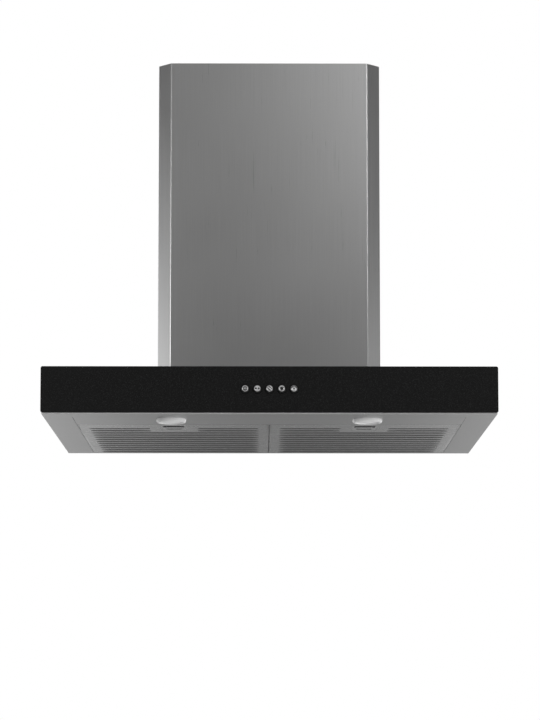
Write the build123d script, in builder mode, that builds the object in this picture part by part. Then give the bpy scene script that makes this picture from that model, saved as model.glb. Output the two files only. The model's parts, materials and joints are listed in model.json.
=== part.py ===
"""Wall chimney range hood, 600 mm wide, as separate pieces in their places at rest.

X runs left to right, Y runs towards the wall (the wall is Y = 0, the hood stands out towards -Y), Z is up.
Z = 0 is the underside of the canopy. All sizes are in millimetres.
"""
from build123d import *
import os

os.makedirs("parts", exist_ok=True)

# ---------------------------------------------------------------- driving dimensions
# canopy
panel_width = 600.0        # black glass, left to right
panel_height = 61.0
panel_glass = 4.0          # thickness
panel_corner = 2.5
steel_edge = 1.5           # strip of steel that shows under the glass
overall_depth = 490.0      # wall to the front of the glass
side_step = 1.0            # the steel body is this much narrower on each side
glass_over_roof = 0.5      # the glass stands this much above the canopy
canopy_sheet = 1.0
front_flange = 40.0        # front of the glass to the light strip
side_flange = 38.0         # width of the steel at each side of the underside
rear_flange = 12.0
lip_height = 8.0           # turned-up edge around the opening of the underside
seam = 0.4                 # gap between neighbouring sheets of the underside

# light strip and lamps
light_strip_depth = 79.0
lamp_offset = 130.6        # lamp centres, left and right of the middle
lamp_setback = 24.0        # lamp centres, behind the front of the light strip
bezel_radius = 20.0
bezel_proud = 5.0
bezel_opening = 16.4
lamp_glass_radius = 17.0
lamp_glass_thick = 2.0
lamp_glass_recess = 2.6    # underside of the lamp glass's rim, below the light strip
lamp_glass_shy = 0.3       # lowest point of the domed glass, above that of the bezel
holder_radius = 20.5
holder_flange = 1.5
holder_height = 25.0
holder_wall = 1.5
socket_width = 14.0
socket_depth = 10.0
socket_height = 6.5
capsule_radius = 4.5
capsule_length = 14.0
pin_spread = 2.0           # lamp pins, each side of the middle
pin_radius = 0.5
pin_length = 4.0

# push buttons
button_pitch = 16.0
button_count = 5
button_radius = 5.1
button_proud = 4.4
button_dome = 2.4          # height of the domed part of the cap
button_travel = 3.0
button_hole = 5.5
stem_radius = 4.0
stem_depth = 7.5           # into the switch unit
spring_length = 12.0
spring_radius = 3.1
spring_wall = 0.6
running_clearance = 0.05
fit_gap = 0.02             # between pieces that are pressed together
unit_depth = 31.0          # switch unit, front to back
unit_half_height = 8.0
unit_side = 13.0           # switch unit, beyond the outer buttons
window_margin = 1.5        # about the switch unit's front end, at the sides
ear_thickness = 2.5
ear_half_height = 6.0
ear_side = 24.0            # beyond the outer buttons
ear_screw_side = 19.0
tag_width = 4.8
tag_sheet = 0.8
tag_length = 8.0
tag_spread = 3.2           # from the middle of the unit to a tag

# grease filters
filter_height = 10.0
filter_sheet = 0.6
filter_rim = 8.0           # frame's rim, turned inwards at the top
mesh_sheet = 0.3
mesh_bottom = 2.2
mesh_pitch = 1.1
mesh_margin = 1.4          # filter edge to mesh
slot_pitch = 27.2
slot_width = 5.5
slot_margin = 14.5         # filter edge to slot end
first_slot_setback = 52.0  # behind the front edge of the filter
last_slot_margin = 6.0
slot_break = 33.0          # half width left plain about the latch in the first two rows
lug_length = 8.2
lug_width = 30.0
lug_sheet = 1.0
lug_offset = 80.0

# latches
latch_width = 33.0
latch_setback = 21.0       # behind the front edge of the filter
latch_length = 49.5
finger_slot = 14.5
latch_rim = 2.0
latch_floor = 1.0
latch_roof = 0.8
latch_below_back = 1.7     # top of the filter to the top of the cup
cup_wall = 1.2
slider_sheet = 1.2
thumb_half = 9.8           # pad under the slider that fills the rear of the window
thumb_length = 18.0
thumb_setback = 0.2        # face of the filter to the pad
thumb_gap = 0.6
latch_travel = 6.0
tongue_reach = 5.5         # past the front edge of the filter
latch_spring_radius = 1.3
latch_spring_wall = 0.5

# blower
box_side_room = 26.5       # chimney side to blower box
box_front_room = 22.0
box_back = 22.0            # gap to the wall
box_height = 270.0
box_sheet = 1.0
box_flange = 10.0
blade_count = 36
blade_depth = 12.0
scroll_width = 120.0
scroll_wall = 2.0
scroll_growth = 9.0        # added to the volute's radius for each further quarter
scroll_front_room = 14.0   # blower box to volute
scroll_back_room = 5.0
scroll_foot = 10.0         # roof of the canopy to the lowest point of the volute
tongue_gap = 7.0           # impeller to volute where they are nearest
impeller_side_gap = 6.0
inlet_overlap = 1.0        # how far the inlet rings reach in over the blades
motor_room = 20.0          # inlet to motor
inlet_roll = 2.0           # rolled edge round each inlet
inlet_roll_height = 3.0
shaft_radius = 4.0
bearing_radius = 11.0
bearing_width = 7.0
motor_start = 20.0         # X of the motor's two ends
motor_end = 78.0
shield_split = 49.0
shield_wall = 2.0
stator_depth = 20.0
stator_start = 34.0
stator_end = 64.0
winding_length = 5.0
air_gap = 0.3
hub_radius = 11.0
hub_half = 12.0
impeller_ring = 2.0        # thickness of the rings and the middle disc
blade_sheet = 1.2
blade_lean = 32.0          # degrees
bracket_arm_width = 12.0
bracket_arm_sheet = 3.0
arm_screw_side = 12.0      # inlet to the screws of the motor bracket
can_radius = 15.0          # run capacitor
can_height = 58.0
can_below_top = 92.0
terminal_width = 51.0
terminal_depth = 34.0
terminal_height = 75.0
terminal_below_top = 22.0
terminal_wall = 2.0
gland_inset = 25.0         # side of the blower box to the cable gland
gland_y = -60.0
gland_bore = 4.0
gland_neck = 6.0

# outlet
spigot_radius = 75.0
spigot_wall = 2.0
spigot_length = 48.0
spigot_back_room = 3.0     # back of the blower box to the spigot
collar_base = 2.0
collar_side = 11.0         # base beyond the spigot, left and right
collar_margin = 2.0        # base beyond the spigot, front and back
flap_gap = 0.9
flap_thick = 1.2
flap_pin_radius = 1.5
flap_axis_rise = 20.0      # above the blower box
knuckle_radius = 2.7
knuckle_length = 16.0
flap_edge = 3.3            # hinge line to the straight edge of a flap

# chimney
chimney_width = 313.0
chimney_depth = 260.0
chimney_chamfer = 18.0
chimney_top = 528.0
chimney_sheet = 0.8
telescope_gap = 0.6
chimney_return = 12.0
chimney_tab = 14.0
chimney_tab_half = 20.0
cover_screw_y = -130.0
vent_rows = 6
vent_pitch = 10.0
vent_length = 90.0
vent_width = 4.0
vent_below_top = 70.0

# wall frame
frame_width = 220.0
frame_rise = 68.0          # above the blower box
frame_sheet = 2.0
wall_hole_radius = 4.0
wall_hole_across = 180.0
wall_hole_low = 48.0       # above the roof of the canopy
wall_hole_high = 30.0      # below the top of the frame
bracket_sheet = 1.5
bracket_height = 24.0
bracket_half = 135.0
bracket_hole_radius = 3.5
bracket_hole_across = 120.0

screw_radius = 1.8
screw_head = 3.6
screw_head_height = 2.2
screw_length = 7.5
over = 1.0                 # how far a cut runs past the face that it starts from
hair = 0.3                 # gap that keeps neighbouring loose pieces apart


def from_front(distance):
    """Y of a place that lies a distance behind the front of the glass."""
    return distance - overall_depth


def save(builder, name):
    """Label a finished piece and write it as its own STEP file."""
    builder.part.label = name
    export_step(builder.part, f"parts/{name}.step")


def block(x_range, y_range, z_range, mode=Mode.ADD):
    """A box between two corners, in the part being built."""
    low = (x_range[0], y_range[0], z_range[0])
    size = (x_range[1] - x_range[0], y_range[1] - y_range[0], z_range[1] - z_range[0])
    with Locations(low):
        Box(*size, align=(Align.MIN, Align.MIN, Align.MIN), mode=mode)


def upright(x, y, z_range, radius, mode=Mode.ADD):
    """A vertical cylinder."""
    with Locations((x, y, z_range[0])):
        Cylinder(radius, z_range[1] - z_range[0], align=(Align.CENTER, Align.CENTER, Align.MIN), mode=mode)


def along_x(y, z, x_range, radius, mode=Mode.ADD):
    """A cylinder that lies left to right."""
    with BuildSketch(Plane.YZ.offset(x_range[0])) as disc:
        with Locations((y, z)):
            Circle(radius)
    extrude(disc.sketch, amount=x_range[1] - x_range[0], mode=mode)


def along_y(x, z, y_range, radius, mode=Mode.ADD):
    """A cylinder that lies front to back."""
    with BuildSketch(Plane.XZ.offset(-y_range[1])) as disc:
        with Locations((x, z)):
            Circle(radius)
    extrude(disc.sketch, amount=y_range[1] - y_range[0], mode=mode)


sides = {"left": -1, "right": 1}

# places that several pieces share
canopy_height = steel_edge + panel_height - glass_over_roof
filter_from_front = front_flange + light_strip_depth
lamp_from_front = front_flange + lamp_setback
latch_from_front = filter_from_front + latch_setback
first_slot_from_front = filter_from_front + first_slot_setback
body_half = panel_width / 2 - side_step
body_front = -(overall_depth - panel_glass)
opening_half = body_half - side_flange
opening_front = from_front(front_flange)
opening_back = -rear_flange
button_z = steel_edge + panel_height / 2
button_xs = [button_pitch * (i - (button_count - 1) / 2) for i in range(button_count)]
strip_front = opening_front + seam
strip_back = opening_front + light_strip_depth - seam / 2
filter_front = opening_front + light_strip_depth + seam / 2
filter_back = opening_back - 1.2 * seam
filter_inner = seam + 0.1                       # half the gap in the middle
filter_outer = opening_half - seam
filter_middle = (filter_inner + filter_outer) / 2
roof = canopy_height
box_top = roof + box_height
box_half = chimney_width / 2 - box_side_room
box_front = chimney_depth - box_front_room
box_inside = box_front - box_back - 2 * box_sheet
scroll_radius = (box_inside - scroll_front_room - scroll_back_room - 3 * scroll_growth) / 2
blower_y = -(box_back + box_sheet + scroll_back_room + scroll_radius + 3 * scroll_growth)
blower_z = roof + scroll_foot + scroll_radius + scroll_growth
impeller_radius = scroll_radius - scroll_wall - tongue_gap
impeller_width = scroll_width - 2 * (scroll_wall + impeller_side_gap)
blade_inner = impeller_radius - blade_depth
inlet_radius = blade_inner - inlet_overlap
motor_radius = inlet_radius - motor_room
spigot_y = -(box_back + spigot_back_room + spigot_radius)
gland_place = (box_half - gland_inset, gland_y)
frame_top = box_top + frame_rise
strip_lip = 5.3                                 # top of the light strip's rear edge, under the catch
side_inner = chimney_width / 2 - chimney_sheet
box_screws = [(sx * (box_half + box_flange / 2), y) for sx in (-1, 1) for y in (-60, -200)]
cover_screws = [(sx * (side_inner - chimney_tab / 2), cover_screw_y) for sx in (-1, 1)]
collar_screws = [(sx * (spigot_radius + 3), spigot_y + sy * (spigot_radius - 9))
                 for sx in (-1, 1) for sy in (-1, 1)]
switch_screws = [button_xs[0] - ear_screw_side, button_xs[-1] + ear_screw_side]

# ---------------------------------------------------------------- canopy
with BuildPart() as canopy_shell:
    block((-body_half, body_half), (body_front, 0), (0, canopy_height))
    block((canopy_sheet - body_half, body_half - canopy_sheet),
          (body_front + canopy_sheet, -canopy_sheet),
          (canopy_sheet, canopy_height - canopy_sheet), Mode.SUBTRACT)
    # turned-up edges at the front and the sides of the opening, one sheet wide
    lip_z = (canopy_sheet / 2, canopy_sheet + lip_height)
    block((-opening_half - canopy_sheet, opening_half + canopy_sheet),
          (opening_front - canopy_sheet, opening_back), lip_z)
    block((-opening_half, opening_half), (opening_front, opening_back),
          (-canopy_sheet, canopy_height / 2), Mode.SUBTRACT)
    # the blower draws through the roof
    block((-box_half + box_flange, box_half - box_flange),
          (box_flange - box_front, -box_back - box_flange),
          (canopy_height / 2, canopy_height + canopy_sheet), Mode.SUBTRACT)
    # window for the switch unit
    block((button_xs[0] - unit_side - window_margin, button_xs[-1] + unit_side + window_margin),
          (body_front - over, body_front + canopy_sheet + over),
          (button_z - unit_half_height - window_margin / 3, button_z + unit_half_height + window_margin / 3),
          Mode.SUBTRACT)
    for x in switch_screws:
        along_y(x, button_z, (body_front - over, body_front + canopy_sheet + over), screw_radius,
                Mode.SUBTRACT)
    for x, y in box_screws + cover_screws:
        upright(x, y, (roof - canopy_sheet - over, roof + over), screw_radius, Mode.SUBTRACT)
save(canopy_shell, "canopy_shell")

with BuildPart() as front_panel:
    with BuildSketch(Plane.XZ.offset(overall_depth - panel_glass)):
        with Locations((0, button_z)):
            RectangleRounded(panel_width, panel_height, panel_corner)
        with Locations(*[(x, button_z) for x in button_xs]):
            Circle(button_hole, mode=Mode.SUBTRACT)
    extrude(amount=panel_glass)
save(front_panel, "front_panel")

# ---------------------------------------------------------------- push buttons
unit_front = body_front + hair
unit_back = unit_front + unit_depth
stem_end = unit_front + stem_depth
bore_end = stem_end + spring_length
cap_back = from_front(panel_glass - button_travel)
cap_front = from_front(-button_proud)
dome_sphere = (button_radius ** 2 + button_dome ** 2) / (2 * button_dome)

with BuildPart() as switch_unit:
    block((button_xs[0] - unit_side, button_xs[-1] + unit_side), (unit_front, unit_back),
          (button_z - unit_half_height, button_z + unit_half_height))
    # two ears, screwed to the back of the canopy's front wall
    block((button_xs[0] - ear_side, button_xs[-1] + ear_side),
          (body_front + canopy_sheet, body_front + canopy_sheet + ear_thickness),
          (button_z - ear_half_height, button_z + ear_half_height))
    for x in button_xs:
        along_y(x, button_z, (unit_front - over, bore_end), stem_radius + running_clearance, Mode.SUBTRACT)
    # two terminal tags at the back of each switch
    for x in button_xs:
        for tag_z in (button_z - tag_spread - tag_sheet, button_z + tag_spread):
            block((x - tag_width / 2, x + tag_width / 2), (unit_back, unit_back + tag_length),
                  (tag_z, tag_z + tag_sheet))
    for x in switch_screws:
        along_y(x, button_z, (body_front, body_front + canopy_sheet + ear_thickness + over),
                screw_radius, Mode.SUBTRACT)
save(switch_unit, "switch_unit")

for number, x in enumerate(button_xs, start=1):
    with BuildPart() as button:
        with BuildSketch(Plane.YZ.offset(x)):
            with BuildLine():
                Polyline((cap_front, button_z), (stem_end, button_z),
                         (stem_end, button_z + stem_radius), (cap_back, button_z + stem_radius),
                         (cap_back, button_z + button_radius),
                         (cap_front + button_dome, button_z + button_radius))
                RadiusArc((cap_front + button_dome, button_z + button_radius),
                          (cap_front, button_z), -dome_sphere)
            make_face()
        revolve(axis=Axis((x, 0, button_z), (0, 1, 0)))
    save(button, f"button_{number}")

    with BuildPart() as button_spring:
        along_y(x, button_z, (stem_end, bore_end), spring_radius)
        along_y(x, button_z, (stem_end - over, bore_end + over), spring_radius - spring_wall, Mode.SUBTRACT)
    save(button_spring, f"button_spring_{number}")

# ---------------------------------------------------------------- light strip and lamps
strip_half = opening_half - seam
neck_radius = lamp_glass_radius + 1.2
with BuildPart() as light_strip:
    block((-strip_half, strip_half), (strip_front, strip_back), (0, canopy_sheet + lip_height - 1))
    block((canopy_sheet - strip_half, strip_half - canopy_sheet),
          (strip_front + canopy_sheet, strip_back - canopy_sheet),
          (canopy_sheet, canopy_sheet + lip_height), Mode.SUBTRACT)
    block((-strip_half, strip_half), (strip_back - 1.5 * canopy_sheet, strip_back + over),
          (strip_lip, canopy_sheet + lip_height), Mode.SUBTRACT)
    for side in sides.values():
        upright(side * lamp_offset, from_front(lamp_from_front), (-over, canopy_sheet + over),
                neck_radius + hair, Mode.SUBTRACT)
save(light_strip, "light_strip")

glass_bottom = -lamp_glass_recess
neck_top = 6.0
dome_edge = bezel_opening - 2 * running_clearance
dome_depth = bezel_proud - lamp_glass_shy - lamp_glass_recess
dome_sphere = (dome_edge ** 2 + dome_depth ** 2) / (2 * dome_depth)
lip_round = 1.2            # inner edge of the bezel
rim_round = 2.4            # outer edge of the bezel
for side_name, side in sides.items():
    lamp_plane = Plane(origin=(side * lamp_offset, from_front(lamp_from_front), 0),
                       x_dir=(1, 0, 0), z_dir=(0, -1, 0))
    lamp_axis = Axis(lamp_plane.origin, (0, 0, 1))
    with BuildPart() as lamp_bezel:
        with BuildSketch(lamp_plane):
            with BuildLine():
                seat_radius = lamp_glass_radius + 2 * running_clearance
                lip_end = (bezel_opening, lip_round - bezel_proud)
                lowest = (bezel_opening + lip_round, -bezel_proud)
                rim_end = (bezel_radius, rim_round - bezel_proud)
                Polyline((neck_radius, 0), (neck_radius, neck_top), (seat_radius, neck_top),
                         (seat_radius, glass_bottom), (bezel_opening, glass_bottom), lip_end)
                RadiusArc(lip_end, lowest, -lip_round)
                RadiusArc(lowest, rim_end, -rim_round)
                Polyline(rim_end, (bezel_radius, 0), (neck_radius, 0))
            make_face()
        revolve(axis=lamp_axis)
    save(lamp_bezel, f"lamp_bezel_{side_name}")

    lamp_x = side * lamp_offset
    lamp_y = from_front(lamp_from_front)
    with BuildPart() as lamp_glass:
        with BuildSketch(lamp_plane):
            with BuildLine():
                RadiusArc((0, glass_bottom - dome_depth), (dome_edge, glass_bottom), -dome_sphere)
                Polyline((dome_edge, glass_bottom), (lamp_glass_radius, glass_bottom),
                         (lamp_glass_radius, glass_bottom + lamp_glass_thick),
                         (0, glass_bottom + lamp_glass_thick), (0, glass_bottom - dome_depth))
            make_face()
        revolve(axis=lamp_axis)
    save(lamp_glass, f"lamp_glass_{side_name}")

    holder_top = canopy_sheet + holder_height
    socket_bottom = holder_top - holder_wall - socket_height
    with BuildPart() as lamp_holder:
        upright(lamp_x, lamp_y, (canopy_sheet, canopy_sheet + holder_wall), holder_radius + holder_flange)
        upright(lamp_x, lamp_y, (canopy_sheet, holder_top), holder_radius)
        upright(lamp_x, lamp_y, (canopy_sheet - over, holder_top - holder_wall),
                holder_radius - holder_wall, Mode.SUBTRACT)
        # ceramic socket under the roof of the cup
        block((lamp_x - socket_width / 2, lamp_x + socket_width / 2),
              (lamp_y - socket_depth / 2, lamp_y + socket_depth / 2),
              (socket_bottom, holder_top - holder_wall))
        for pin in (-pin_spread, pin_spread):
            upright(lamp_x + pin, lamp_y, (socket_bottom - over, socket_bottom + pin_length + over),
                    pin_radius + 2 * running_clearance, Mode.SUBTRACT)
    save(lamp_holder, f"lamp_holder_{side_name}")

with BuildPart() as lamp_capsules:
    for side in sides.values():
        lamp_x = side * lamp_offset
        upright(lamp_x, lamp_y, (socket_bottom - capsule_length, socket_bottom), capsule_radius)
        for pin in (-pin_spread, pin_spread):
            upright(lamp_x + pin, lamp_y, (socket_bottom - over, socket_bottom + pin_length), pin_radius)
save(lamp_capsules, "lamp_capsules")

# ---------------------------------------------------------------- grease filters with their latches
latch_back = latch_from_front + latch_length
cup_top = filter_height - latch_below_back
slider_half = latch_width / 2 - latch_rim - 0.5
slider_back = latch_back - cup_wall - latch_travel - hair - 0.5
window_front = latch_from_front + latch_rim - 0.5
window_back = slider_back - 0.5
pull_face = window_front + finger_slot
pull_back = from_front(pull_face) + slider_sheet
plate_low = latch_floor + hair
plate_high = plate_low + slider_sheet
tongue_bottom = strip_lip + hair
tongue_top = tongue_bottom + slider_sheet
tongue_tip = filter_front - tongue_reach
spring_z = (plate_high + tongue_bottom) / 2
layer_count = round((filter_height - 2 * filter_sheet - mesh_bottom) / mesh_pitch)
slot_reach = filter_outer - filter_inner - 2 * slot_margin
slot_room = filter_back - from_front(first_slot_from_front) - last_slot_margin
slot_rows = int(slot_room / slot_pitch) + 1
slot_centres = [first_slot_from_front + slot_pitch * row for row in range(slot_rows)]

for side_name, side in sides.items():
    middle = side * filter_middle
    half = (filter_outer - filter_inner) / 2
    wall = filter_sheet

    with BuildPart() as filter_frame:
        block((middle - half, middle + half), (filter_front, filter_back), (0, filter_height))
        # open through the middle, with a rim turned inwards at the top
        block((middle - half + filter_rim, middle + half - filter_rim),
              (filter_front + filter_rim, filter_back - filter_rim),
              (-over, filter_height + over), Mode.SUBTRACT)
        block((middle - half + wall, middle + half - wall), (filter_front + wall, filter_back - wall),
              (-over, filter_height - wall), Mode.SUBTRACT)
        # notch for the catch
        block((middle - slider_half - hair, middle + slider_half + hair),
              (filter_front - over, filter_front + 2 * wall),
              (tongue_bottom - hair, tongue_top + hair), Mode.SUBTRACT)
        # two lugs that hook over the rear flange
        for lug in (-lug_offset, lug_offset):
            block((middle + lug - lug_width / 2, middle + lug + lug_width / 2),
                  (filter_back - wall, filter_back + lug_length),
                  (canopy_sheet + hair, canopy_sheet + hair + lug_sheet))
    save(filter_frame, f"filter_frame_{side_name}")

    with BuildPart() as filter_face:
        block((middle - half + wall, middle + half - wall), (filter_front + wall, filter_back - wall),
              (0, wall))
        block((middle - latch_width / 2, middle + latch_width / 2),
              (from_front(latch_from_front), from_front(latch_back)), (-over, 2 * wall), Mode.SUBTRACT)
        with BuildSketch(Plane.XY):
            for row, centre in enumerate(slot_centres):
                if row < 2:
                    short = slot_reach / 2 - slot_break
                    spread = slot_break + short / 2
                    with Locations((middle - spread, from_front(centre)),
                                   (middle + spread, from_front(centre))):
                        SlotOverall(short, slot_width)
                else:
                    with Locations((middle, from_front(centre))):
                        SlotOverall(slot_reach, slot_width)
        extrude(amount=wall, mode=Mode.SUBTRACT)
    save(filter_face, f"filter_face_{side_name}")

    cup_room = (middle - latch_width / 2 - over, middle + latch_width / 2 + over)
    with BuildPart() as filter_mesh:
        for layer in range(layer_count):
            layer_z = mesh_bottom + layer * mesh_pitch
            block((middle - half + mesh_margin, middle + half - mesh_margin),
                  (filter_front + mesh_margin, filter_back - mesh_margin), (layer_z, layer_z + mesh_sheet))
        block(cup_room, (filter_front, from_front(latch_back) + over), (0, filter_height), Mode.SUBTRACT)
    save(filter_mesh, f"filter_mesh_{side_name}")

    with BuildPart() as filter_back_sheet:
        block((middle - half + wall, middle + half - wall), (filter_front + wall, filter_back - wall),
              (filter_height - 2 * wall, filter_height - wall))
        with BuildSketch(Plane.XY.offset(filter_height - 2 * wall)):
            for centre in slot_centres[2:]:
                with Locations((middle, from_front(centre))):
                    SlotOverall(slot_reach, 2 * slot_width)
        extrude(amount=wall, mode=Mode.SUBTRACT)
    save(filter_back_sheet, f"filter_back_{side_name}")

    with BuildPart() as latch_cup:
        block((middle - latch_width / 2, middle + latch_width / 2),
              (from_front(latch_from_front), from_front(latch_back)), (0, cup_top))
        block((middle - latch_width / 2 + cup_wall, middle + latch_width / 2 - cup_wall),
              (from_front(latch_from_front + cup_wall), from_front(latch_back - cup_wall)),
              (latch_floor, cup_top - latch_roof), Mode.SUBTRACT)
        # window: wide where the finger goes in, narrow behind, about the pad
        block((middle - slider_half - hair, middle + slider_half + hair),
              (from_front(window_front), from_front(pull_face) + hair), (-over, latch_floor + over),
              Mode.SUBTRACT)
        block((middle - thumb_half - thumb_gap, middle + thumb_half + thumb_gap),
              (from_front(pull_face), from_front(window_back)), (-over, latch_floor + over), Mode.SUBTRACT)
        block((middle - slider_half - hair, middle + slider_half + hair),
              (from_front(latch_from_front) - over, from_front(latch_from_front) + 2 * cup_wall),
              (tongue_bottom - hair, tongue_top + hair), Mode.SUBTRACT)
    save(latch_cup, f"latch_cup_{side_name}")

    with BuildPart() as latch_slider:
        with BuildSketch(Plane.YZ.offset(middle - slider_half)):
            with BuildLine():
                Polyline((tongue_tip, tongue_bottom), (from_front(pull_face), tongue_bottom),
                         (from_front(pull_face), plate_low), (from_front(slider_back), plate_low),
                         (from_front(slider_back), plate_high), (pull_back, plate_high),
                         (pull_back, tongue_bottom), (from_front(slider_back), tongue_bottom),
                         (from_front(slider_back), tongue_top), (tongue_tip, tongue_top), close=True)
            make_face()
        extrude(amount=2 * slider_half)
        block((middle - thumb_half, middle + thumb_half),
              (from_front(pull_face), from_front(pull_face + thumb_length)),
              (thumb_setback, plate_low + slider_sheet / 2))
    save(latch_slider, f"latch_slider_{side_name}")

    spring_ends = (pull_back + 0.1, from_front(latch_back - cup_wall) - 0.1)
    with BuildPart() as latch_spring:
        along_y(middle, spring_z, spring_ends, latch_spring_radius)
        along_y(middle, spring_z, (spring_ends[0] - over, spring_ends[1] + over),
                latch_spring_radius - latch_spring_wall, Mode.SUBTRACT)
    save(latch_spring, f"latch_spring_{side_name}")

# ---------------------------------------------------------------- blower housing on the roof of the canopy
with BuildPart() as blower_box:
    block((-box_half, box_half), (-box_front, -box_back), (roof, box_top))
    block((-box_half - box_flange, box_half + box_flange), (-box_front - box_flange, box_flange - box_back),
          (roof, roof + box_sheet))
    block((box_sheet - box_half, box_half - box_sheet),
          (box_sheet - box_front, -box_sheet - box_back),
          (roof - over, box_top - box_sheet), Mode.SUBTRACT)
    upright(0, spigot_y, (box_top - box_sheet - over, box_top + over), spigot_radius - 2 * spigot_wall,
            Mode.SUBTRACT)
    upright(*gland_place, (box_top - box_sheet - over, box_top + over), gland_neck + 0.2, Mode.SUBTRACT)
    for x, y in box_screws:
        upright(x, y, (roof - over, roof + box_sheet + over), screw_radius, Mode.SUBTRACT)
    for x, y in collar_screws:
        upright(x, y, (box_top - box_sheet - over, box_top + over), screw_radius, Mode.SUBTRACT)
save(blower_box, "blower_box")


def volute(shrink, top):
    """Face of the volute, moved inwards by shrink: three growing quarter turns and the outlet channel."""
    first = scroll_radius - shrink
    start = (blower_y, blower_z + first)
    with BuildLine() as outline:
        one = JernArc(start, (-1, 0), first, 90)
        two = JernArc(one @ 1, one % 1, first + scroll_growth, 90)
        three = JernArc(two @ 1, two % 1, first + 2 * scroll_growth, 90)
        channel_left = blower_y + 5 + shrink
        Polyline(three @ 1, ((three @ 1).X, top), (channel_left, top), (channel_left, blower_z + first), start)
    make_face(outline.edges())


mouth_top = box_top - box_sheet
for side_name, side in sides.items():
    # each half runs from the middle of the casing to one inlet
    outer_x = side * scroll_width / 2
    with BuildPart() as scroll:
        with BuildSketch(Plane.YZ):
            volute(0, mouth_top)
        extrude(amount=outer_x)
        with BuildSketch(Plane.YZ.offset(-side)):
            volute(scroll_wall, mouth_top + over)
        extrude(amount=outer_x - side * (scroll_wall - over), mode=Mode.SUBTRACT)
        with BuildSketch(Plane.YZ):
            with Locations((blower_y, blower_z)):
                Circle(inlet_radius)
        extrude(amount=2 * outer_x, mode=Mode.SUBTRACT)
        # rolled edge of the inlet
        with BuildSketch(Plane.YZ.offset(outer_x)):
            with Locations((blower_y, blower_z)):
                Circle(inlet_radius + inlet_roll)
                Circle(inlet_radius, mode=Mode.SUBTRACT)
        extrude(amount=side * inlet_roll_height)
        if side > 0:
            for turn in range(3):
                arm_place = Location((blower_y, blower_z), 90 + 120 * turn)
                with BuildSketch(Plane.YZ.offset(outer_x - scroll_wall - over)):
                    with Locations(arm_place):
                        with Locations((inlet_radius + arm_screw_side, 0)):
                            Circle(screw_radius)
                extrude(amount=scroll_wall + 2 * over, mode=Mode.SUBTRACT)
    save(scroll, f"scroll_{side_name}")

half_impeller = impeller_width / 2
with BuildPart() as impeller:
    with BuildSketch(Plane.YZ.offset(-half_impeller)):
        with Locations((blower_y, blower_z)):
            with PolarLocations((impeller_radius + blade_inner) / 2, blade_count):
                Rectangle(blade_depth + 0.5, blade_sheet, rotation=blade_lean)
    extrude(amount=impeller_width)
    for x in (-half_impeller, half_impeller - impeller_ring):
        with BuildSketch(Plane.YZ.offset(x)):
            with Locations((blower_y, blower_z)):
                Circle(impeller_radius)
                Circle(blade_inner, mode=Mode.SUBTRACT)
        extrude(amount=impeller_ring)
    along_x(blower_y, blower_z, (-impeller_ring / 2, impeller_ring / 2), impeller_radius)
    along_x(blower_y, blower_z, (-hub_half, hub_half), hub_radius)
    along_x(blower_y, blower_z, (-hub_half - over, hub_half + over), shaft_radius + fit_gap, Mode.SUBTRACT)
save(impeller, "impeller")

# motor, in the right-hand inlet
front_bearing = (motor_start + shield_wall + hair, motor_start + shield_wall + hair + bearing_width)
rear_bearing = (motor_end - shield_wall - hair - bearing_width, motor_end - shield_wall - hair)
stator_span = (stator_start, stator_end)
stator_inner = motor_radius - stator_depth

with BuildPart() as motor_shaft:
    along_x(blower_y, blower_z, (-hub_half - 2, motor_end + 4), shaft_radius)
save(motor_shaft, "motor_shaft")

with BuildPart() as motor_rotor:
    along_x(blower_y, blower_z, (stator_span[0] + 1, stator_span[1] - 1), stator_inner - air_gap)
    along_x(blower_y, blower_z, stator_span, shaft_radius + fit_gap, Mode.SUBTRACT)
save(motor_rotor, "motor_rotor")

with BuildPart() as motor_stator:
    along_x(blower_y, blower_z, stator_span, motor_radius - shield_wall - 0.2)
    along_x(blower_y, blower_z, (stator_start - over, stator_end + over), stator_inner, Mode.SUBTRACT)
save(motor_stator, "motor_stator")

with BuildPart() as motor_windings:
    for span in ((stator_start - winding_length, stator_start), (stator_end, stator_end + winding_length)):
        along_x(blower_y, blower_z, span, motor_radius - 6)
        along_x(blower_y, blower_z, (span[0] - over, span[1] + over), stator_inner + 3, Mode.SUBTRACT)
save(motor_windings, "motor_windings")

shields = {"inner": (motor_start, shield_split, front_bearing),
           "outer": (motor_end, shield_split, rear_bearing)}
for shield_name, (closed_end, open_end, seat) in shields.items():
    inward = 1 if open_end > closed_end else -1
    floor_face = closed_end + inward * shield_wall
    span = sorted((closed_end, open_end))
    hollow = sorted((floor_face, open_end + inward))
    through = sorted((closed_end - inward, floor_face + inward * 20))
    with BuildPart() as motor_shield:
        along_x(blower_y, blower_z, span, motor_radius)
        along_x(blower_y, blower_z, hollow, motor_radius - shield_wall, Mode.SUBTRACT)
        along_x(blower_y, blower_z, sorted((floor_face, floor_face + inward * (bearing_width + hair))),
                bearing_radius + 3)
        along_x(blower_y, blower_z, seat, bearing_radius + fit_gap, Mode.SUBTRACT)
        along_x(blower_y, blower_z, through, shaft_radius + 1.5, Mode.SUBTRACT)
    save(motor_shield, f"motor_shield_{shield_name}")

with BuildPart() as motor_bearings:
    for seat in (front_bearing, rear_bearing):
        along_x(blower_y, blower_z, seat, bearing_radius)
        along_x(blower_y, blower_z, (seat[0] - over, seat[1] + over), shaft_radius + running_clearance,
                Mode.SUBTRACT)
save(motor_bearings, "motor_bearings")

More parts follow.
